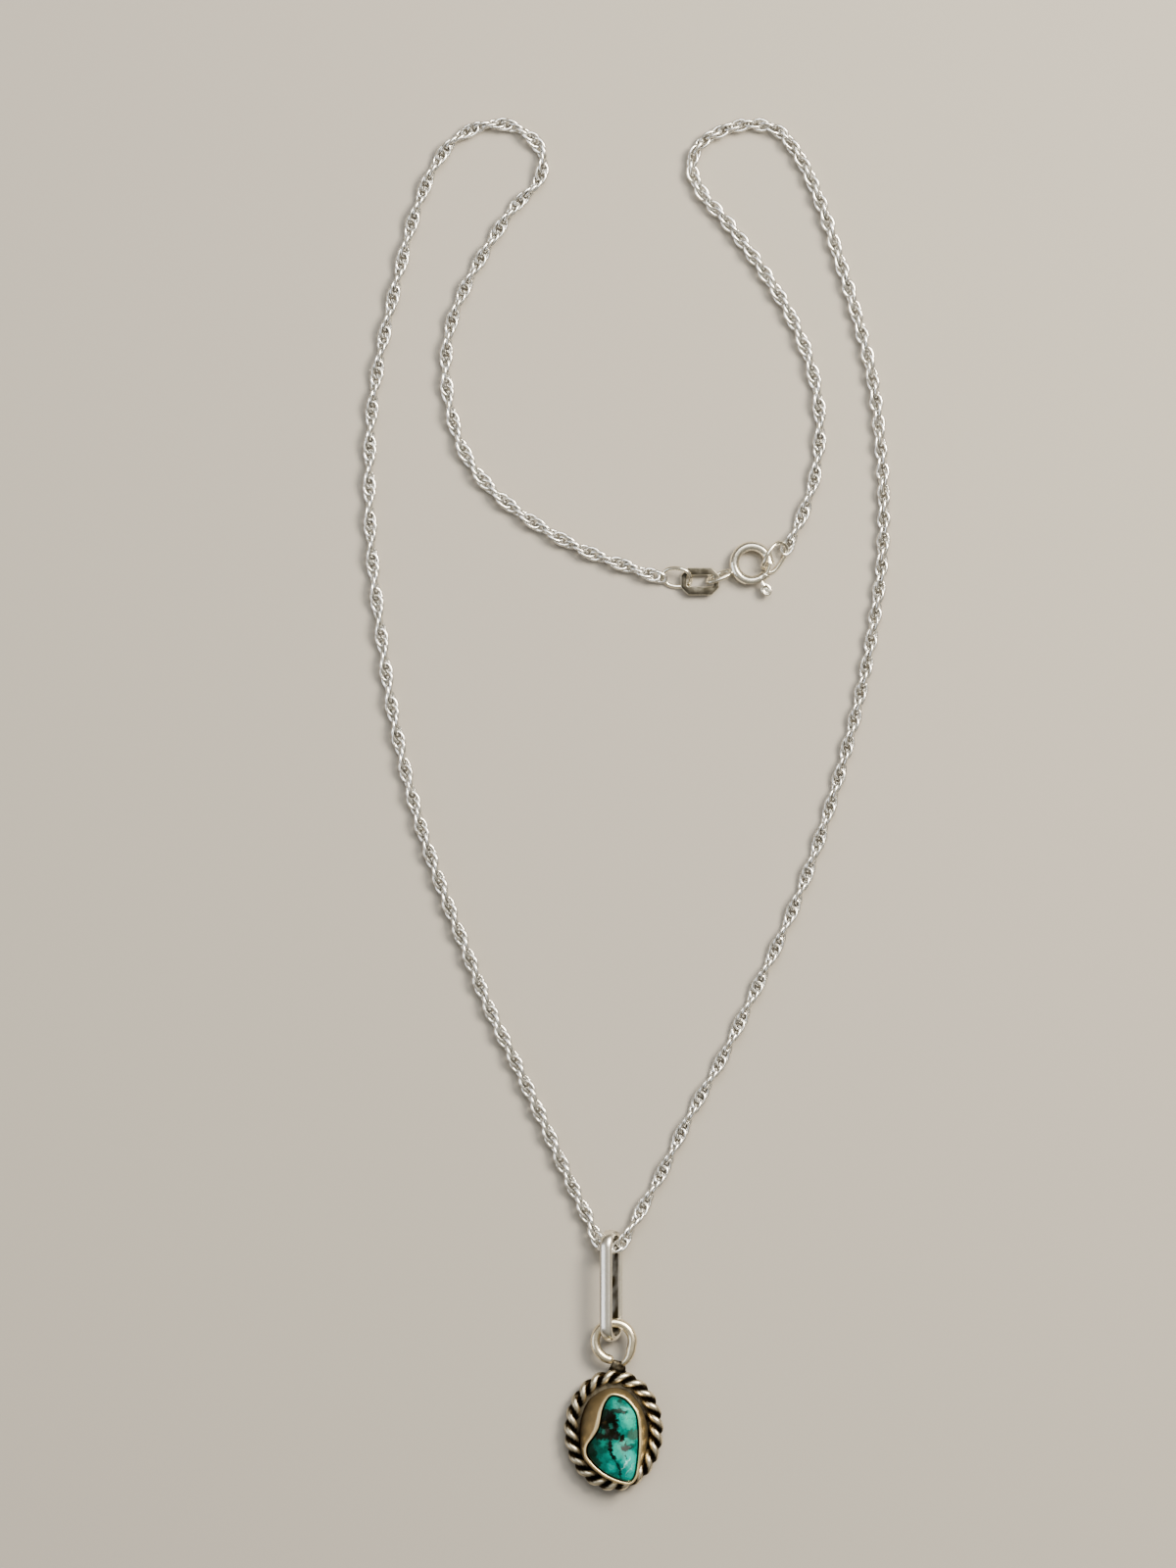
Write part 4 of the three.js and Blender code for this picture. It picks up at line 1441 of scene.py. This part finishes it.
    def build(self, nodes: dict[str, bpy.types.Object]) -> None:
        """Makes the clasp's pieces.

        Args:
            nodes: The frame's nodes by name.
        """
        bright = CLASP_SILVER.material()
        dull = TAG_SILVER.material()
        body = self.body(nodes["spring_ring"])
        shapes = {
            "end_ring_left": (self.end_ring(self.left_ring_mm), bright, "clasp_silver", "root"),
            "end_ring_right": (self.end_ring(self.right_ring_mm), bright, "clasp_silver", "root"),
            "spring_ring": (body, bright, "clasp_silver", "root"),
            "spring_ring_trigger": (self.trigger(), bright, "clasp_silver", "trigger"),
            "tag_link": (self.tag(), dull, "tag_silver", "root"),
        }
        for name, (mesh, material, slot, carrier) in shapes.items():
            piece = piece_of(name + "_finished", mesh, material)
            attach(piece, carrier)
            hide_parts(name)
            LOG.info("%s: %d faces", piece.name, len(mesh.polygons))


# ------------------------------------------------------------------ bail


@dataclass
class Bail:
    """Long closed loop of half-round wire, flat inside, standing on edge and leaning to -X.

    Attributes:
        middle_y_mm: Middle of the loop.
        length_mm: Its length over the outside.
        bar_gap_mm: Distance between the middles of its two long bars.
        width_mm: Width of the wire.
        thickness_mm: Thickness of the wire.
        lean: Degrees that the front bar leans to -X of the back bar.
        back_x_mm: Middle of the back bar.
        back_z_mm: Height of the back bar's middle.
        wander_mm: How uneven the bent wire is.
        dark_z_mm: Heights between which the back bar's darkness sets in, downwards.
        dark_x_mm: Places between which it sets in, away from the bright right edge.
        flank_z_mm: Heights between which the painted shade on the front bar's left flank sets in.
        flank_x_mm: Places between which that flank sets in, leftwards.
        flank_share: Strength of the painted shade on that flank.
    """

    middle_y_mm: float = -59.87
    length_mm: float = 13.92
    bar_gap_mm: float = 3.42
    width_mm: float = 1.6
    thickness_mm: float = 0.75
    lean: float = 24.0
    back_x_mm: float = -1.25
    back_z_mm: float = 0.53
    wander_mm: float = 0.012
    dark_z_mm: tuple[float, float] = (1.9, 1.1)
    dark_x_mm: tuple[float, float] = (-0.9, -1.02)
    flank_z_mm: tuple[float, float] = (2.4, 3.0)
    flank_x_mm: tuple[float, float] = (-3.05, -3.3)
    flank_share: float = 0.55

    def section(self, sides: int = 20) -> list[tuple[float, float]]:
        """The wire's half-round section.

        Args:
            sides: Points round it.

        Returns:
            (across the wire, outwards from the loop's middle) in millimetres about the wire's middle.
        """
        half, thick = self.width_mm / 2, self.thickness_mm
        round_part, flat_part = 0.68, 0.32  # shares of the thickness on each side of the widest line
        squareness, flatness = 0.75, 0.45  # powers that fill out the shoulders and flatten the inside
        shift = 0.18  # share of the thickness from the widest line to the middle
        points = []
        for i in range(sides):
            angle = 2 * math.pi * i / sides
            across = math.copysign(abs(math.cos(angle)) ** squareness, math.cos(angle)) * half
            rise = math.sin(angle)
            if rise > 0:
                outwards = rise * (thick * round_part)
            else:
                outwards = -(abs(rise) ** flatness) * thick * flat_part
            points.append((across, outwards - thick * shift))
        return points

    def tarnish_and_shade(self, place: Vector) -> float:
        """How dark the bail is painted: the inside of its back bar, partly oxide and partly painted shade,
        and painted shade on its front bar's left flank, away from the light.

        Args:
            place: The place in millimetres.

        Returns:
            The share of darkening.
        """
        # Oxide and painted shade on the inside of the back bar.
        back = eased(place.z, *self.dark_z_mm) * eased(place.x, *self.dark_x_mm)
        # Painted shade on the front bar's left flank, away from the light.
        flank = eased(place.z, *self.flank_z_mm) * eased(place.x, *self.flank_x_mm)
        mottled = 0.92 + 0.2 * noise.noise(place * 1.4)
        return max(0.05, back * mottled, self.flank_share * flank)

    def build(self) -> bpy.types.Object:
        """Makes the bail.

        Returns:
            The piece.
        """
        radius = self.bar_gap_mm / 2
        straight = self.length_mm / 2 - self.thickness_mm / 2 - radius
        stations: list[tuple[float, float, float]] = []
        arc_steps, bar_steps = 18, 14
        for end in (1, -1):
            for i in range(arc_steps + 1):
                angle = math.pi * i / arc_steps - math.pi / 2 + (0 if end > 0 else math.pi)
                along, up = end * straight + radius * math.cos(angle), radius * math.sin(angle)
                stations.append((along, up, angle))
            for i in range(1, bar_steps):
                share = i / bar_steps
                stations.append((end * straight * (1 - 2 * share), end * radius, end * math.pi / 2))

        lean = math.radians(self.lean)
        height = Vector((-math.sin(lean), 0.0, math.cos(lean)))
        side = Vector((0.0, 1.0, 0.0)).cross(height)
        centre = Vector((self.back_x_mm, self.middle_y_mm, self.back_z_mm)) + height * radius
        points = []
        for along, up, angle in stations:
            outward = Vector((0.0, math.cos(angle), 0.0)) + height * math.sin(angle)
            middle = centre + Vector((0.0, along, 0.0)) + height * up
            wobble = self.wander_mm * noise.noise(Vector((along * 0.7, up * 0.7, 3.0)))
            for across, out in self.section():
                points.append((middle + side * across + outward * (out + wobble)) * MM)
        mesh = mesh_from(points, grid_faces(len(stations), len(self.section()), closed=True))
        stain(mesh, self.tarnish_and_shade)
        piece = piece_of("bail_loop", mesh, BAIL_SILVER.material())
        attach(piece, "root")
        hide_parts("bail")
        return piece


# ------------------------------------------------------------------ setting and nugget


@dataclass
class Setting:
    """Back plate, twisted border, bezel cup and soldered ring, all in blackened and rubbed silver.

    Attributes:
        x_mm: Middle of the setting.
        y_mm: Middle of the setting.
        plate_mm: Half width and half length of the back plate.
        plate_edge_mm: Rows of (inset, height) up the plate's softened edge.
        rope_mm: Half width and half length of the oval that the border winds about.
        rope_z_mm: Height of that oval.
        strand_mm: Radius of the border's strand.
        twist_mm: Distance from the oval to the strand's middle.
        lobes: Half turns of the twist in one lap.
        rope_shade: Painted shade on the border's crests at its left end, away from the light.
        rim_z_mm: Height of the bezel's rim.
        wall_mm: Thickness of the bezel's wall.
        left_wall_shade: Strength of the painted shade and painted dark reflection on the left of that wall.
        rim_wave_mm: How much the rim rises and falls.
        floor_z_mm: Height of the bezel's floor.
        upper_fade_share: How much lighter the channel's darkening is at its top.
        loop_mm: Middle of the soldered ring.
        loop_radius_mm: Radius of its middle line.
        loop_wire_radius_mm: Radius of its wire.
        loop_span: Angles between which it is round, in degrees.
        loop_tail_mm: Points from the border up to the round part.
        drops_mm: Rows of (x, y, z, radius) of the drops that the solder is fused from.
        solder_voxel_mm: Face size of the fused solder.
        solder_rounds: Rounds of smoothing over it.
        outline: Rows of (rim x, rim y, foot x, foot y) round the bezel, clockwise from its top.
    """

    x_mm: float = -1.6
    y_mm: float = -77.9
    plate_mm: tuple[float, float] = (5.45, 6.85)
    plate_edge_mm: tuple[tuple[float, float], ...] = (
        (0.12, 0.0), (0.03, 0.03), (0.0, 0.12), (0.0, 0.68), (0.03, 0.77), (0.12, 0.8),
    )
    rope_mm: tuple[float, float] = (5.31, 6.69)
    rope_z_mm: float = 1.48
    strand_mm: float = 0.47
    twist_mm: float = 0.42
    lobes: int = 21
    rope_shade: float = 0.42
    rim_z_mm: float = 3.9
    wall_mm: float = 0.27
    left_wall_shade: float = 0.6
    rim_wave_mm: float = 0.1
    floor_z_mm: float = 1.0
    upper_fade_share: float = 0.13
    loop_mm: tuple[float, float, float] = (-1.6, -66.8, 1.9)
    loop_radius_mm: float = 2.32
    loop_wire_radius_mm: float = 0.58
    loop_span: tuple[float, float] = (-12.0, 256.0)
    loop_tail_mm: tuple[tuple[float, float, float], ...] = (
        (-0.66, -70.0, 1.4), (-0.34, -69.5, 1.7), (0.1, -69.0, 1.85), (0.42, -68.38, 1.9),
    )
    drops_mm: tuple[tuple[float, float, float, float], ...] = (
        (-1.5, -69.5, 1.5, 0.4), (-1.15, -69.7, 1.5, 0.48), (-0.7, -69.75, 1.55, 0.45),
        (-1.55, -69.95, 1.35, 0.5), (-1.05, -70.1, 1.3, 0.6), (-0.6, -70.2, 1.3, 0.5),
        (-1.75, -70.4, 1.1, 0.5), (-1.2, -70.6, 1.05, 0.6), (-0.55, -70.65, 1.05, 0.5),
        (-1.5, -71.0, 0.95, 0.5), (-0.85, -71.0, 0.95, 0.5),
    )
    solder_voxel_mm: float = 0.06
    solder_rounds: int = 14
    outline: tuple[tuple[float, float, float, float], ...] = (
        (0.0, 4.78, 0.11, 5.26), (1.42, 4.34, 1.6, 4.9), (2.5, 3.25, 2.75, 3.85),
        (3.08, 2.2, 3.65, 2.4), (3.38, -0.9, 4.35, -0.6), (3.15, -4.15, 3.65, -3.95),
        (2.83, -5.68, 3.0, -5.7), (2.15, -6.45, 2.3, -6.65), (1.2, -6.45, 1.0, -6.75),
        (-1.4, -5.35, -1.7, -5.7), (-3.48, -3.3, -3.85, -3.6), (-3.7, -2.3, -4.15, -2.5),
        (-3.48, -1.43, -4.25, -1.3), (-2.83, -0.56, -4.25, 0.1), (-2.18, 0.53, -4.05, 1.6),
        (-1.73, 2.7, -3.2, 3.6), (-1.3, 3.8, -2.2, 4.45), (-0.65, 4.6, -1.1, 5.05),
    )

    def ring(self, share: float, z_mm: float, inwards_mm: float = 0.0, per_span: int = 8) -> list[Vector]:
        """A level ring of points round the bezel.

        Args:
            share: 0 at the rim's outline, 1 at the foot's.
            z_mm: Its height.
            inwards_mm: How far it is moved inwards.
            per_span: Points for each row of the outline.

        Returns:
            Points about the middle of the setting, in millimetres, counter-clockwise.
        """
        rows = [
            Vector((rx + (fx - rx) * share, ry + (fy - ry) * share, 0.0)) for rx, ry, fx, fy in self.outline
        ]
        dense = smooth_curve(rows[::-1], per_span, closed=True)
        ring = []
        for i, point in enumerate(dense):
            run = dense[(i + 1) % len(dense)] - dense[i - 1]
            inward = Vector((-run.y, run.x, 0.0)).normalized()
            ring.append(Vector((*(point + inward * inwards_mm).xy, z_mm)))
        return ring

    def placed(self, rings: Sequence[Sequence[Vector]]) -> list[Vector]:
        """Rings about the middle of the setting, put in place in metres.

        Args:
            rings: Rings in millimetres.

        Returns:
            All their points.
        """
        middle = Vector((self.x_mm, self.y_mm, 0.0))
        return [(point + middle) * MM for ring in rings for point in ring]

    def bezel(self) -> bpy.types.Mesh:
        """The cup: a thin wall leaning in to its rim, with a floor under the stone.

        Returns:
            Its mesh.
        """
        rim, wall = self.rim_z_mm, self.wall_mm
        # Rows of (share of the way from the rim's outline to the foot's, height, inset), up the
        # outside, over the rim and down the inside.
        profile = (
            (1.0, 0.7, 0.0), (0.98, 0.95, 0.0), (0.82, 1.5, 0.0), (0.55, 2.4, 0.0), (0.32, 3.1, 0.0),
            (0.2, 3.45, 0.0), (0.13, rim - 0.2, 0.0), (0.09, rim - 0.1, 0.02), (0.05, rim - 0.03, 0.06),
            (0.02, rim, 0.1), (0.0, rim, wall - 0.09), (0.0, rim - 0.05, wall - 0.03),
            (0.0, rim - 0.2, wall), (0.0, 2.2, wall), (0.0, self.floor_z_mm, wall),
        )
        rings = [self.ring(share, z, inwards) for share, z, inwards in profile]
        # Only the rings near the rim, from the fifth to the thirteenth, rise and fall.
        wave_from, wave_rise = 2.8, 0.8  # height where the waves start, and the rise to their full size
        for ring in rings[4:13]:
            for point in ring:
                wave = noise.noise(Vector((point.x * 0.45, point.y * 0.45, 7.0)))
                point.z += self.rim_wave_mm * wave * min(1.0, (point.z - wave_from) / wave_rise)
        mesh = mesh_from(self.placed(rings), grid_faces(len(rings), len(rings[0]), closed=False))
        stain(mesh, self.bezel_patina_and_shade)
        return mesh

    def bezel_patina_and_shade(self, place: Vector) -> float:
        """How dark the bezel is at a place: a bright rim, painted shade and painted dark reflection to the
        left, and oxide with painted shade at the foot.

        Args:
            place: The place in millimetres.

        Returns:
            The share of darkening.
        """
        height = (place.z - self.floor_z_mm) / (self.rim_z_mm - self.floor_z_mm)
        # Painted shade and painted dark reflection to the left, away from the light, and darker towards the
        # foot, where oxide and painted shade meet.
        leftward = eased(place.x - self.x_mm, 2.5, -2.0)
        sunk = (1 - eased(height, -0.2, 1.05)) * (0.05 + 0.7 * leftward)
        foot = (1 - eased(height, 0.0, 0.15)) * self.upper_fade(place)
        wall = self.left_wall_shade * leftward * (1 - eased(height, 0.93, 0.98))
        return max(sunk, foot, wall)

    def plate(self) -> bpy.types.Mesh:
        """The oval back plate with softened edges.

        Returns:
            Its mesh.
        """
        half_width, half_length = self.plate_mm
        around = 120
        rings = []
        for inset, z in self.plate_edge_mm:
            rings.append([
                Vector((
                    (half_width - inset) * math.cos(2 * math.pi * i / around),
                    (half_length - inset) * math.sin(2 * math.pi * i / around),
                    z,
                ))
                for i in range(around)
            ])
        mesh = mesh_from(self.placed(rings), grid_faces(len(rings), around, closed=False))
        stain(mesh, self.plate_blackening_and_shade)
        return mesh

    def plate_blackening_and_shade(self, place: Vector) -> float:
        """How dark the plate is at a place: bright at its foot and dark above, where oxide and painted shade
        fill the channel under the border.

        Args:
            place: The place in millimetres.

        Returns:
            The share of darkening.
        """
        # Oxide and painted shade on the plate's top, in the channel under the border.
        return (0.1 + 0.9 * eased(place.z, 0.1, 0.6)) * self.upper_fade(place)

    def loop(self) -> bpy.types.Mesh:
        """The open ring of round wire that carries the bail, with its tail down to the border.

        Returns:
            Its mesh.
        """
        x, y, z = self.loop_mm
        path = [Vector(point) for point in self.loop_tail_mm]
        first, last = self.loop_span
        steps = 20
        for step in range(steps + 1):
            angle = math.radians(first + (last - first) * step / steps)
            path.append(Vector((
                x + self.loop_radius_mm * math.cos(angle), y + self.loop_radius_mm * math.sin(angle), z,
            )))
        dense = [point * MM for point in smooth_curve(path, 5)]
        # The tail starts at half the wire's radius, filed down to meet the border.
        mesh = wire_along(
            dense,
            lambda share: self.loop_wire_radius_mm * MM * min(1.0, 0.5 + 3.5 * share),
            20,
            closed=False,
        )
        stain(mesh, self.loop_blackening_and_shade)
        return mesh

    def loop_blackening_and_shade(self, place: Vector) -> float:
        """How dark the soldered ring is: blackened at its ends by the solder, with a little painted shade on
        its inside and underside.

        Args:
            place: The place in millimetres.

        Returns:
            The share of darkening.
        """
        x, y, z = self.loop_mm
        inner = self.loop_radius_mm - self.loop_wire_radius_mm
        ends = 0.9 * eased(place.y, -68.9, -70.0)
        # Painted shade on the ring's inside and underside.
        inside = 0.55 * eased(math.hypot(place.x - x, place.y - y), inner + 0.35, inner)
        below = 0.5 * eased(place.z, z - 0.1, z - 0.5)
        return max(ends, inside, below)

    def solder(self) -> bpy.types.Mesh:
        """The lump of solder between the ring's ends and the border, fused from round drops.

        Returns:
            Its mesh.
        """
        build = bmesh.new()
        for x, y, z, radius in self.drops_mm:
            bmesh.ops.create_icosphere(
                build, subdivisions=3, radius=radius * MM, matrix=Matrix.Translation(Vector((x, y, z)) * MM)
            )
        lump = bpy.data.meshes.new("drops")
        build.to_mesh(lump)
        build.free()
        mesh = remeshed(lump, self.solder_voxel_mm * MM, self.solder_rounds)
        stain(mesh, lambda place: 0.92 + 0.1 * noise.noise(place * 1.2))
        return mesh

    def rope_line(self) -> list[Vector]:
        """Middle line of the border's strand, which goes round twice and winds about an oval.

        Returns:
            Its points in millimetres about the middle of the setting.
        """
        half_width, half_length = self.rope_mm
        # Shifts the points along the oval so that the twist stays even all round it.
        evening = (half_length**2 - half_width**2) / (4 * (half_width**2 + half_length**2))
        steps = self.lobes * 24
        line = []
        for step in range(steps):
            lap = 4 * math.pi * step / steps
            angle = lap + math.pi / 2 - evening * math.sin(2 * lap + math.pi)
            outward = Vector((half_length * math.cos(angle), half_width * math.sin(angle), 0.0))
            outward.normalize()
            turn = lap * self.lobes / 2
            line.append(
                Vector((half_width * math.cos(angle), half_length * math.sin(angle), self.rope_z_mm))
                + (outward * math.cos(turn) + Z_AXIS * math.sin(turn)) * self.twist_mm
            )
        return line

    def upper_fade(self, place: Vector) -> float:
        """How much of the darkening is left in the channel round the bezel, which grows lighter towards the
        top.

        Args:
            place: The place in millimetres.

        Returns:
            The share that is left.
        """
        return 1 - self.upper_fade_share * eased(place.y - self.y_mm, 1.5, 4.5)

    def rope_blackening_and_shade(self, place: Vector) -> float:
        """How dark the border is at a place: blackened between the strands' crests, with painted shade under
        the strands, on their side towards the bezel and on the crests at the left end.

        Args:
            place: The place in millimetres.

        Returns:
            The share of darkening.
        """
        x, y = place.x - self.x_mm, place.y - self.y_mm
        half_width, half_length = self.rope_mm
        level = math.hypot(x / half_width, y / half_length)
        slope = math.hypot(x / half_width**2, y / half_length**2)
        beside = (level - 1) * level / max(slope, 1e-6)
        above = place.z - self.rope_z_mm
        crest = math.hypot(beside, above)
        groove = 1 - eased(crest, 0.75, 0.9)
        # Painted shade under the strands and on their side towards the bezel, over the blackening in that
        # channel.
        low = 0.85 * (1 - eased(place.z, 0.9, 1.75))
        inner = 0.75 * eased(-beside, 0.3, 0.75) * self.upper_fade(place)
        # Painted shade on the crests at the left end, away from the light.
        shaded = self.rope_shade * eased(x, 1.0, -4.5)
        return max(groove, low, inner, shaded)

    def rope(self, material: bpy.types.Material) -> bpy.types.Mesh:
        """The border: one strand that goes round twice and so lies twisted with itself.

        Args:
            material: Its finish.

        Returns:
            Its mesh.
        """
        tree, given, out = new_tree(
            "twisted_border",
            {"Strand Radius": SocketKind.LENGTH, "Sides": SocketKind.COUNT, "Finish": SocketKind.FINISH},
        )
        line = add_node(tree, "GeometryNodeMeshToCurve", {"Mesh": given["Geometry"]})
        section = add_node(
            tree,
            "GeometryNodeCurvePrimitiveCircle",
            {"Resolution": given["Sides"], "Radius": given["Strand Radius"]},
        )
        solid = add_node(
            tree, "GeometryNodeCurveToMesh", {"Curve": line.outputs[0], "Profile Curve": section.outputs[0]}
        )
        real = add_node(tree, "GeometryNodeRealizeInstances", {"Geometry": solid.outputs[0]})
        dressed = add_node(
            tree, "GeometryNodeSetMaterial", {"Geometry": real.outputs[0], "Material": given["Finish"]}
        )
        tree.links.new(dressed.outputs[0], out.inputs[0])

        points = self.placed([self.rope_line()])
        loop = bpy.data.meshes.new("strand")
        loop.from_pydata(
            [tuple(point) for point in points], [(i, (i + 1) % len(points)) for i in range(len(points))], []
        )
        mesh = grown(
            "rope_border",
            loop,
            tree,
            {"Strand Radius": self.strand_mm * MM, "Sides": 14, "Finish": material},
        )
        stain(mesh, self.rope_blackening_and_shade)
        return mesh

    def build(self) -> None:
        """Makes the setting's pieces."""
        silver = AGED_SILVER.material()
        strip = BEZEL_SILVER.material()
        pieces = {
            "back_plate": self.plate(),
            "rope_border": self.rope(silver),
            "bezel_cup": self.bezel(),
            "soldered_ring": self.loop(),
            "solder_lump": self.solder(),
        }
        for name, mesh in pieces.items():
            piece = piece_of(name, mesh, strip if name == "bezel_cup" else silver)
            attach(piece, "root")
            if name == "back_plate":
                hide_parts("setting")
            LOG.info("%s: %d faces", name, len(mesh.polygons))


@dataclass
class Nugget:
    """The tumbled turquoise: upright sides in the bezel and a lumpy, polished crown.

    Attributes:
        setting: The setting that holds it.
        clearance_mm: Gap to the bezel's wall.
        seat_mm: Gap under the stone.
        shoulder_z_mm: Height where the crown starts.
        dome_mm: Rise of the crown without its swells.
        crown_mm: Place that the crown's rings shrink towards.
        swells: Rows of (x, y, height, spread) that raise or hollow the crown.
        swell_rise: How fast the swells grow from the edge inwards.
        ripples: Rows of (height, waves to a millimetre, level of the noise) that make it uneven.
        side_z_mm: Heights of the rings of its upright sides, above the lowest.
    """

    setting: Setting
    clearance_mm: float = 0.17
    seat_mm: float = 0.03
    shoulder_z_mm: float = 3.65
    dome_mm: float = 0.88
    crown_mm: tuple[float, float] = (0.5, -1.0)
    swells: tuple[tuple[float, float, float, float], ...] = (
        (-0.3, 3.2, 0.55, 1.4), (1.9, 1.6, 0.6, 1.2), (-0.5, 0.6, -0.45, 0.9),
        (1.6, -0.9, -0.35, 0.8), (-0.6, -3.0, 0.5, 1.7), (1.6, -4.1, 0.7, 1.5),
    )
    swell_rise: float = 2.2
    ripples: tuple[tuple[float, float, float], ...] = ((0.09, 0.9, 2.0), (0.03, 2.6, 5.0))
    side_z_mm: tuple[float, float] = (2.4, 3.3)

    def top(self, x: float, y: float, inward: float) -> float:
        """Height of the crown.

        Args:
            x: Place about the middle of the setting, in millimetres.
            y: Place about the middle of the setting, in millimetres.
            inward: 0 at the edge, 1 at the crown's middle.

        Returns:
            The height in millimetres.
        """
        dome = self.dome_mm * math.sqrt(1 - (1 - inward) ** 2)
        lumps = sum(
            height * math.exp(-((x - cx) ** 2 + (y - cy) ** 2) / spread**2)
            for cx, cy, height, spread in self.swells
        )
        fine = sum(
            height * noise.noise(Vector((x * rate, y * rate, level))) for height, rate, level in self.ripples
        )
        return self.shoulder_z_mm + dome + (lumps + fine) * min(1.0, self.swell_rise * inward)

    def build(self) -> bpy.types.Object:
        """Makes the nugget.

        Returns:
            The piece.
        """
        inwards = self.setting.wall_mm + self.clearance_mm
        edge = self.setting.ring(0.0, 0.0, inwards)
        crown = Vector((*self.crown_mm, 0.0))
        floor = self.setting.floor_z_mm + self.seat_mm
        rings = [[Vector((point.x, point.y, z)) for point in edge] for z in (floor, *self.side_z_mm)]
        steps = 30
        for step in range(steps):
            inward = (step / steps) ** 1.5  # closer together near the edge, where the crown is steep
            rings.append([
                Vector((*place.xy, self.top(place.x, place.y, inward)))
                for place in (point.lerp(crown, inward) for point in edge)
            ])
        points = self.setting.placed(rings)
        around = len(edge)
        faces = grid_faces(len(rings), around, closed=False)[:-1]
        points.append(
            Vector((
                self.setting.x_mm + crown.x, self.setting.y_mm + crown.y, self.top(crown.x, crown.y, 1.0),
            )) * MM
        )
        last = (len(rings) - 1) * around
        faces += [(last + i, last + (i + 1) % around, len(points) - 1) for i in range(around)]
        middle = Vector((self.setting.x_mm, self.setting.y_mm, 0.0)) * MM
        piece = piece_of("nugget", mesh_from(points, faces), TurquoiseFinish().material(middle))
        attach(piece, "root")
        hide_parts("turquoise_stone")
        return piece


# ------------------------------------------------------------------ studio


@dataclass(frozen=True)
class SoftLight:
    """A square light that faces the middle of the necklace.

    Attributes:
        name: Its name.
        place: Where it hangs, in metres.
        size: Side of the square, in metres.
        power: Its power in watts.
        colour: Its colour.
    """

    name: str
    place: tuple[float, float, float]
    size: float
    power: float
    colour: str

    def hang(self) -> None:
        """Puts the light in the scene."""
        data = bpy.data.lights.new(self.name, "AREA")
        data.size = self.size
        data.energy = self.power
        data.color = linear(self.colour)[:3]
        lamp = bpy.data.objects.new(self.name, data)
        lamp.location = self.place
        lamp.rotation_euler = (-Vector(self.place)).to_track_quat("-Z", "Y").to_euler()
        bpy.context.scene.collection.objects.link(lamp)


@dataclass
class Studio:
    """Pale floor, soft lights and a camera straight above the necklace.

    Attributes:
        view_centre_mm: Place on the surface that the camera looks down on.
        view_height_mm: Height of the surface that fills the picture.
        lens_mm: Focal length on a 36 mm film side, long so that raised parts keep their places.
        floor_half: Half the side of the square floor, in metres.
        floor_drop_mm: How far the floor lies under the necklace.
        floor_colour: Colour of the floor.
        floor_roughness: Roughness of the floor.
        horizon_colour: Colour of the surround near the horizon.
        zenith_colour: Colour of the surround overhead.
        surround_span: Upward share of a direction at which those two colours are reached.
        surround_strength: Strength of the surround.
        lamps: The lights.
    """

    view_centre_mm: tuple[float, float] = (-4.81, 2.44)
    view_height_mm: float = 195.2
    lens_mm: float = 180.0
    floor_half: float = 1.5
    floor_drop_mm: float = 0.02
    floor_colour: str = "#9e988d"
    floor_roughness: float = 0.85
    horizon_colour: str = "#3a3226"
    zenith_colour: str = "#efeadf"
    surround_span: tuple[float, float] = (0.05, 0.75)
    surround_strength: float = 0.5
    lamps: tuple[SoftLight, ...] = (
        SoftLight("key", (0.30, 0.22, 0.42), 0.2, 7.3, "#fff4e2"),
        SoftLight("soft_top", (0.1, 0.32, 0.6), 0.5, 4.8, "#ffffff"),
        SoftLight("fill", (-0.45, -0.1, 0.25), 0.3, 0.7, "#e9f0ff"),
    )

    def camera(self) -> None:
        """Sets the camera above the necklace, with +Y up in the picture."""
        data = bpy.data.cameras.new("camera")
        data.lens = self.lens_mm
        distance = self.view_height_mm * MM * self.lens_mm / data.sensor_width
        camera = bpy.data.objects.new("camera", data)
        camera.location = Vector((*self.view_centre_mm, 0.0)) * MM + Z_AXIS * distance
        data.clip_start, data.clip_end = 0.01, 10.0
        bpy.context.scene.collection.objects.link(camera)
        bpy.context.scene.camera = camera

    def floor(self) -> None:
        """Lays a plain matt floor just under the necklace."""
        sides = ((-1, -1), (1, -1), (1, 1), (-1, 1))
        corners = [
            Vector((x * self.floor_half, y * self.floor_half, -self.floor_drop_mm * MM)) for x, y in sides
        ]
        mesh = mesh_from(corners, [(0, 1, 2, 3)])
        material = bpy.data.materials.new("pale_matt_card")
        material.use_nodes = True
        shader = material.node_tree.nodes["Principled BSDF"]
        shader.inputs["Base Color"].default_value = linear(self.floor_colour)
        shader.inputs["Roughness"].default_value = self.floor_roughness
        piece_of("floor", mesh, material)

    def surround(self) -> None:
        """Sets the surround that the silver mirrors: dark at the horizon and pale overhead."""
        world = bpy.data.worlds.new("surround")
        world.use_nodes = True
        tree = world.node_tree
        way = add_node(tree, "ShaderNodeTexCoord").outputs["Generated"]
        height = add_node(tree, "ShaderNodeSeparateXYZ", {0: way}).outputs["Z"]
        shade = add_node(tree, "ShaderNodeValToRGB", {"Fac": height})
        low, high = shade.color_ramp.elements
        low.position, high.position = self.surround_span
        low.color = linear(self.horizon_colour)
        high.color = linear(self.zenith_colour)
        tree.links.new(shade.outputs["Color"], tree.nodes["Background"].inputs["Color"])
        tree.nodes["Background"].inputs["Strength"].default_value = self.surround_strength
        bpy.context.scene.world = world

    def build(self) -> None:
        """Sets up the whole studio."""
        self.camera()
        self.floor()
        for lamp in self.lamps:
            lamp.hang()
        self.surround()


def main() -> None:
    """Builds the necklace's pieces in order and reports each one."""
    logging.basicConfig(level=logging.INFO, format="%(name)s: %(message)s", force=True)
    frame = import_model()
    Studio().build()

    RopeChain().build()
    Clasp().build(frame["nodes"])
    LOG.info("%s: made", Bail().build().name)
    setting = Setting()
    setting.build()
    LOG.info("%s: made", Nugget(setting).build().name)


if __name__ == "__main__":
    main()
